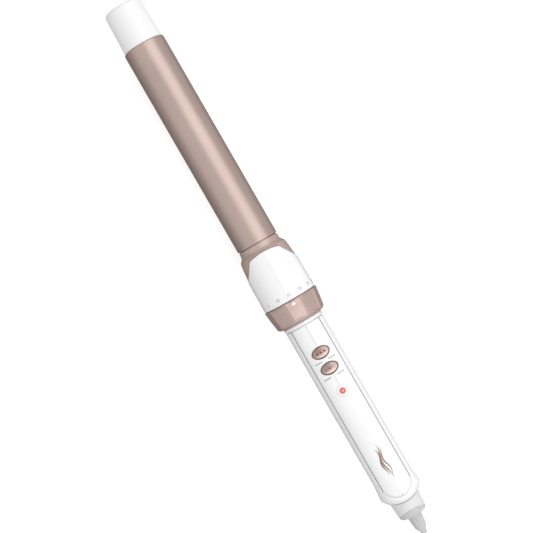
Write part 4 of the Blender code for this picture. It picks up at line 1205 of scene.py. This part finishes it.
def make_strain_relief():
    """A dome that fills the cup's arched edge, a fluted cone, and a plain end for the cord."""
    angles = columns()
    edge = swivel_edge(angles)
    inside, skirt, stub = edge - 0.7, edge + 0.2, RELIEF_END - STUB_FILLET
    cone_end = CONE[-1][0]
    rows = [
        (SPINDLE_START, RELIEF_BORE),
        (SPINDLE_START, SPINDLE_RADIUS),
        (inside, SPINDLE_RADIUS),
        (inside, 7.0),
        (edge + 0.02, 7.9),
        (edge + 0.05, 8.35),
        (skirt, RELIEF_RADIUS),
    ]
    for part in (0.33, 0.66, 1.0):
        rows.append((skirt + (SWIVEL_END + 0.9 - skirt) * part, RELIEF_RADIUS - 0.07 * part))
    rows += DOME
    rows += [(x, radius - flute * (0.5 - 0.5 * np.cos(FLUTES * angles)) ** 2) for x, radius, flute in CONE]
    rows += [(cone_end + (stub - cone_end) * part, STUB_RADIUS) for part in np.linspace(0.1, 1.0, 6)]
    rows += rear_fillet(stub, lambda x: STUB_RADIUS, STUB_FILLET, 6)
    rows.append((RELIEF_END, RELIEF_BORE))
    cone = ruled("relief_cone", angles, rows)
    piece("relief_cone", cone, RUBBER, body="cord_swivel", stands_for=["strain_relief"])


# ---- stand and screws


LEG_HALF, LEG_THICKNESS = 5.0, 2.4
KNUCKLE_RADIUS, PIN_HOLE_RADIUS, PIN_RADIUS = 1.6, 1.0, 0.7
RIB_PITCH, RIB_WIDTH, RIB_MARGIN = 1.1, 0.45, 1.8


def make_stand():
    """The folded leg: a T-shaped plate, a knuckle round its pin, and grooves under the foot."""
    low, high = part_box("counter_stand")
    underside = low.z / MM
    foot_half = high.y / MM
    foot_x = STAND_TIP + 8.5
    side = [
        (STAND_PIVOT.x + 1.0, LEG_HALF, 0.4),
        (foot_x, LEG_HALF, 2.5),
        (foot_x - 2.0, foot_half, 0.8),
        (STAND_TIP, foot_half, 2.5),
    ]
    mirrored = [(x, -y, fillet) for x, y, fillet in reversed(side)]
    body = bmesh.new()
    for x, y in rounded(side + mirrored, 8):
        body.verts.new((x, y, underside))
    bmesh.ops.remove_doubles(body, verts=body.verts, dist=0.02)
    face = body.faces.new(list(body.verts))
    extruded = bmesh.ops.extrude_face_region(body, geom=[face])
    top = [item for item in extruded["geom"] if isinstance(item, bmesh.types.BMVert)]
    bmesh.ops.translate(body, verts=top, vec=(0.0, 0.0, LEG_THICKNESS))
    bmesh.ops.recalc_face_normals(body, faces=body.faces)
    rim = [edge for edge in body.edges if abs(edge.verts[0].co.z - edge.verts[1].co.z) < 1e-6]
    bmesh.ops.bevel(body, geom=rim, offset=0.35, segments=4, profile=0.5, affect="EDGES")
    bmesh.ops.scale(body, vec=(MM, MM, MM), verts=body.verts)
    plate = settled("stand_leg", body)
    pivot = (STAND_PIVOT.x, 0.0, STAND_PIVOT.z)
    knuckle = lathe("knuckle", drum(-LEG_HALF, LEG_HALF, KNUCKLE_RADIUS, 0.2), pivot, "Y")
    bore = lathe("bore", drum(-LEG_HALF - 1, LEG_HALF + 1, PIN_HOLE_RADIUS), pivot, "Y")
    leg = carve(carve(plate, knuckle, operation="UNION"), bore)
    reach = foot_half - RIB_MARGIN
    grooves = [
        block("rib", (x, -reach, underside - 1.0), (x + RIB_WIDTH, reach, underside + 0.3))
        for x in np.arange(STAND_TIP + 1.6, foot_x - 2.4, RIB_PITCH)
    ]
    leg = carve(leg, *grooves)
    piece("stand_leg", leg, STAND_PLASTIC, body="counter_stand", stands_for=["counter_stand"])
    low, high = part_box("stand_hinge_pin")
    pin = lathe("stand_pin", drum(low.y / MM, high.y / MM, PIN_RADIUS, 0.12), pivot, "Y", steps=32)
    piece("stand_pin", pin, STEEL, stands_for=["stand_hinge_pin"])


def make_handle_screws():
    """Pan-head screws with a cross recess, which show in the three deep holes at the back."""
    for number, x in enumerate(HANDLE_SCREWS, 1):
        foot, tip = heights(f"handle_screw_{number}")
        seat = foot + 1.4
        corners = [(tip, 0.0), (tip, 1.1, 0.3), (seat, 1.1), (seat, 2.1, 0.1), (foot, 2.0, 0.5), (foot, 0.0)]
        slots = []
        for turn in (math.radians(20), math.radians(110)):
            slot = block("slot", (-1.25, -0.2, foot - 1.0), (1.25, 0.2, foot + 0.7))
            slot.transform(Matrix.Translation((x * MM, 0.0, AXIS * MM)) @ Matrix.Rotation(turn, 4, "Z"))
            slots.append(slot)
        screw = carve(lathe("screw", corners, (x, 0.0, AXIS)), *slots)
        piece(f"rear_screw_{number}", screw, STEEL, stands_for=[f"handle_screw_{number}"])


# ---- hidden pieces

HIDDEN = [
    (ALUMINIUM, "heat_spreader"),
    (BLACK, "electrolytic_capacitor microcontroller potentiometer power_switch turbo_switch"),
    (BLACK, "thermistor triac"),
    (BOARD, "control_board"),
    (BRASS, "brush_live brush_neutral dial_friction_washer heater_electrode slip_ring"),
    (CERAMIC, "ceramic_heater"),
    (FILM, "film_capacitor"),
    (LEAD_RED, "heater_lead_live supply_lead_live"),
    (LEAD_WHITE, "heater_lead_neutral supply_lead_neutral"),
    (MICA, "heater_sheet"),
    (NYLON, "dial_pinion dial_ring_gear indicator_diode swivel_spindle"),
    (PHENOLIC, "barrel_base_bush brush_holder tip_insulator"),
    (STEEL, "barrel_screw board_screw potentiometer_shaft thermal_fuse tip_screw"),
]  # each material, and what the names of its nodes start with


def dress_hidden():
    """The pieces inside keep their CAD shapes and get materials. The longest matching name counts."""
    materials = {start: material for material, starts in HIDDEN for start in starts.split()}
    for name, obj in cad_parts.items():
        if obj.hide_render:
            continue
        best = max((start for start in materials if name.startswith(start)), key=len)
        for place in obj.material_slots:
            place.material = materials[best]


# ---- floor, light, camera


PAPER_GLOW = 0.70  # lifts the white ground to the white of the background
WORLD_STRENGTH = 0.395
CARD_HEIGHT = 0.001
LIGHT_DISTANCE = 1.2


def sheet(name, reach, near, far, height, material):
    """A flat sheet along the iron, between two distances across it. All of its sizes are in metres."""
    mesh = bpy.data.meshes.new(name)
    corners = [(-reach, near), (reach, near), (reach, far), (-reach, far)]
    mesh.from_pydata([(x, y, height) for x, y in corners], [], [(0, 1, 2, 3)])
    mesh.materials.append(material)
    return linked(name, mesh)


def make_floor():
    """White paper that glows a little, so that it looks as bright as the background."""
    paper = finish("floor_paper", (0.45, 0.45, 0.45), 0.85, tone=(0.004, 3.0), grain=(0.02, 900.0))
    glow = paper.node_tree.nodes["Principled BSDF"]
    put(glow, Emission_Color=(1.0, 1.0, 1.0, 1.0), Emission_Strength=PAPER_GLOW)
    floor = sheet("floor", 3.0, -3.0, 3.0, 0.0, paper)


def softbox(name, turn, size, watts, lean=0.0):
    """A soft light aimed at the iron, turned round its axis from above and leant towards the cord."""
    light = bpy.data.lights.new(name, "AREA")
    light.shape = "RECTANGLE"
    light.size, light.size_y = size
    light.energy = watts
    aim = Matrix.Rotation(-math.radians(turn), 4, "X") @ Matrix.Rotation(math.radians(lean), 4, "Y")
    centre = Matrix.Translation((0.0, 0.0, AXIS * MM))
    linked(name, light).matrix_world = centre @ aim @ Matrix.Translation((0.0, 0.0, LIGHT_DISTANCE))


def shade_reflection_card(name, near, far, shade):
    """A dark card that lies on the floor along the iron and shows only in reflections: it paints the shaded
    floor into the reflections at the iron's edges, which makes them darker.
    """
    paint = finish(name, (shade, shade, shade), 0.9, tone=(0.01, 3.0), grain=(0.02, 900.0))
    card = sheet(name, 2.0, near, far, CARD_HEIGHT, paint)
    card.visible_camera = False
    card.visible_diffuse = False
    card.visible_shadow = False
    card.visible_transmission = False


def make_light():
    world = bpy.data.worlds.new("studio")
    world.use_nodes = True
    put(world.node_tree.nodes["Background"], Color=(1.0, 1.0, 1.0, 1.0), Strength=WORLD_STRENGTH)
    bpy.context.scene.world = world
    softbox("key_light", 32.0, (4.0, 1.24), 24.0)
    softbox("fill_light", -42.5, (4.0, 1.34), 7.7)
    softbox("end_light", 0.0, (0.6, 0.6), 2.4, lean=38.0)
    # Reflection-only cards: they paint the shade of the floor beside the iron into the reflections at its
    # edges.
    shade_reflection_card("left_near_card", -0.012, -0.055, 0.03)
    shade_reflection_card("left_card", -0.055, -1.5, 0.14)
    shade_reflection_card("right_near_card", 0.012, 0.055, 0.12)
    shade_reflection_card("right_card", 0.055, 1.5, 0.46)
    bpy.context.scene.view_settings.view_transform = "Standard"


CAMERA_HEIGHT = 815.0  # above the iron's axis
CAMERA_OVER = -15.0  # the place along the iron that the camera is above
AIM = (-4.15, -2.33)
PICTURE_TURN = math.radians(60.03)
PICTURE_WIDTH = 306.9  # what the picture takes in at the iron's axis


def make_camera():
    data = bpy.data.cameras.new("camera")
    data.sensor_width = 36.0
    data.lens = data.sensor_width * CAMERA_HEIGHT / PICTURE_WIDTH
    data.clip_end = 20.0
    eye = Vector((CAMERA_OVER, 0.0, AXIS + CAMERA_HEIGHT)) * MM
    forward = (Vector((*AIM, AXIS)) * MM - eye).normalized()
    up = Vector((-math.sin(PICTURE_TURN), math.cos(PICTURE_TURN), 0.0))
    right = forward.cross(up).normalized()
    facing = Matrix((right, right.cross(forward), -forward)).transposed().to_4x4()
    camera = linked("camera", data)
    camera.matrix_world = Matrix.Translation(eye) @ facing
    bpy.context.scene.camera = camera


make_camera()
make_light()
make_floor()
make_tip()
make_barrel()
make_housing()
make_dial()
make_front_shell()
make_rear_shell()
make_panel()
make_groove_shades()
make_keys()
make_indicator()
make_panel_prints()
make_scale()
make_swivel()
make_strain_relief()
make_stand()
make_handle_screws()
dress_hidden()
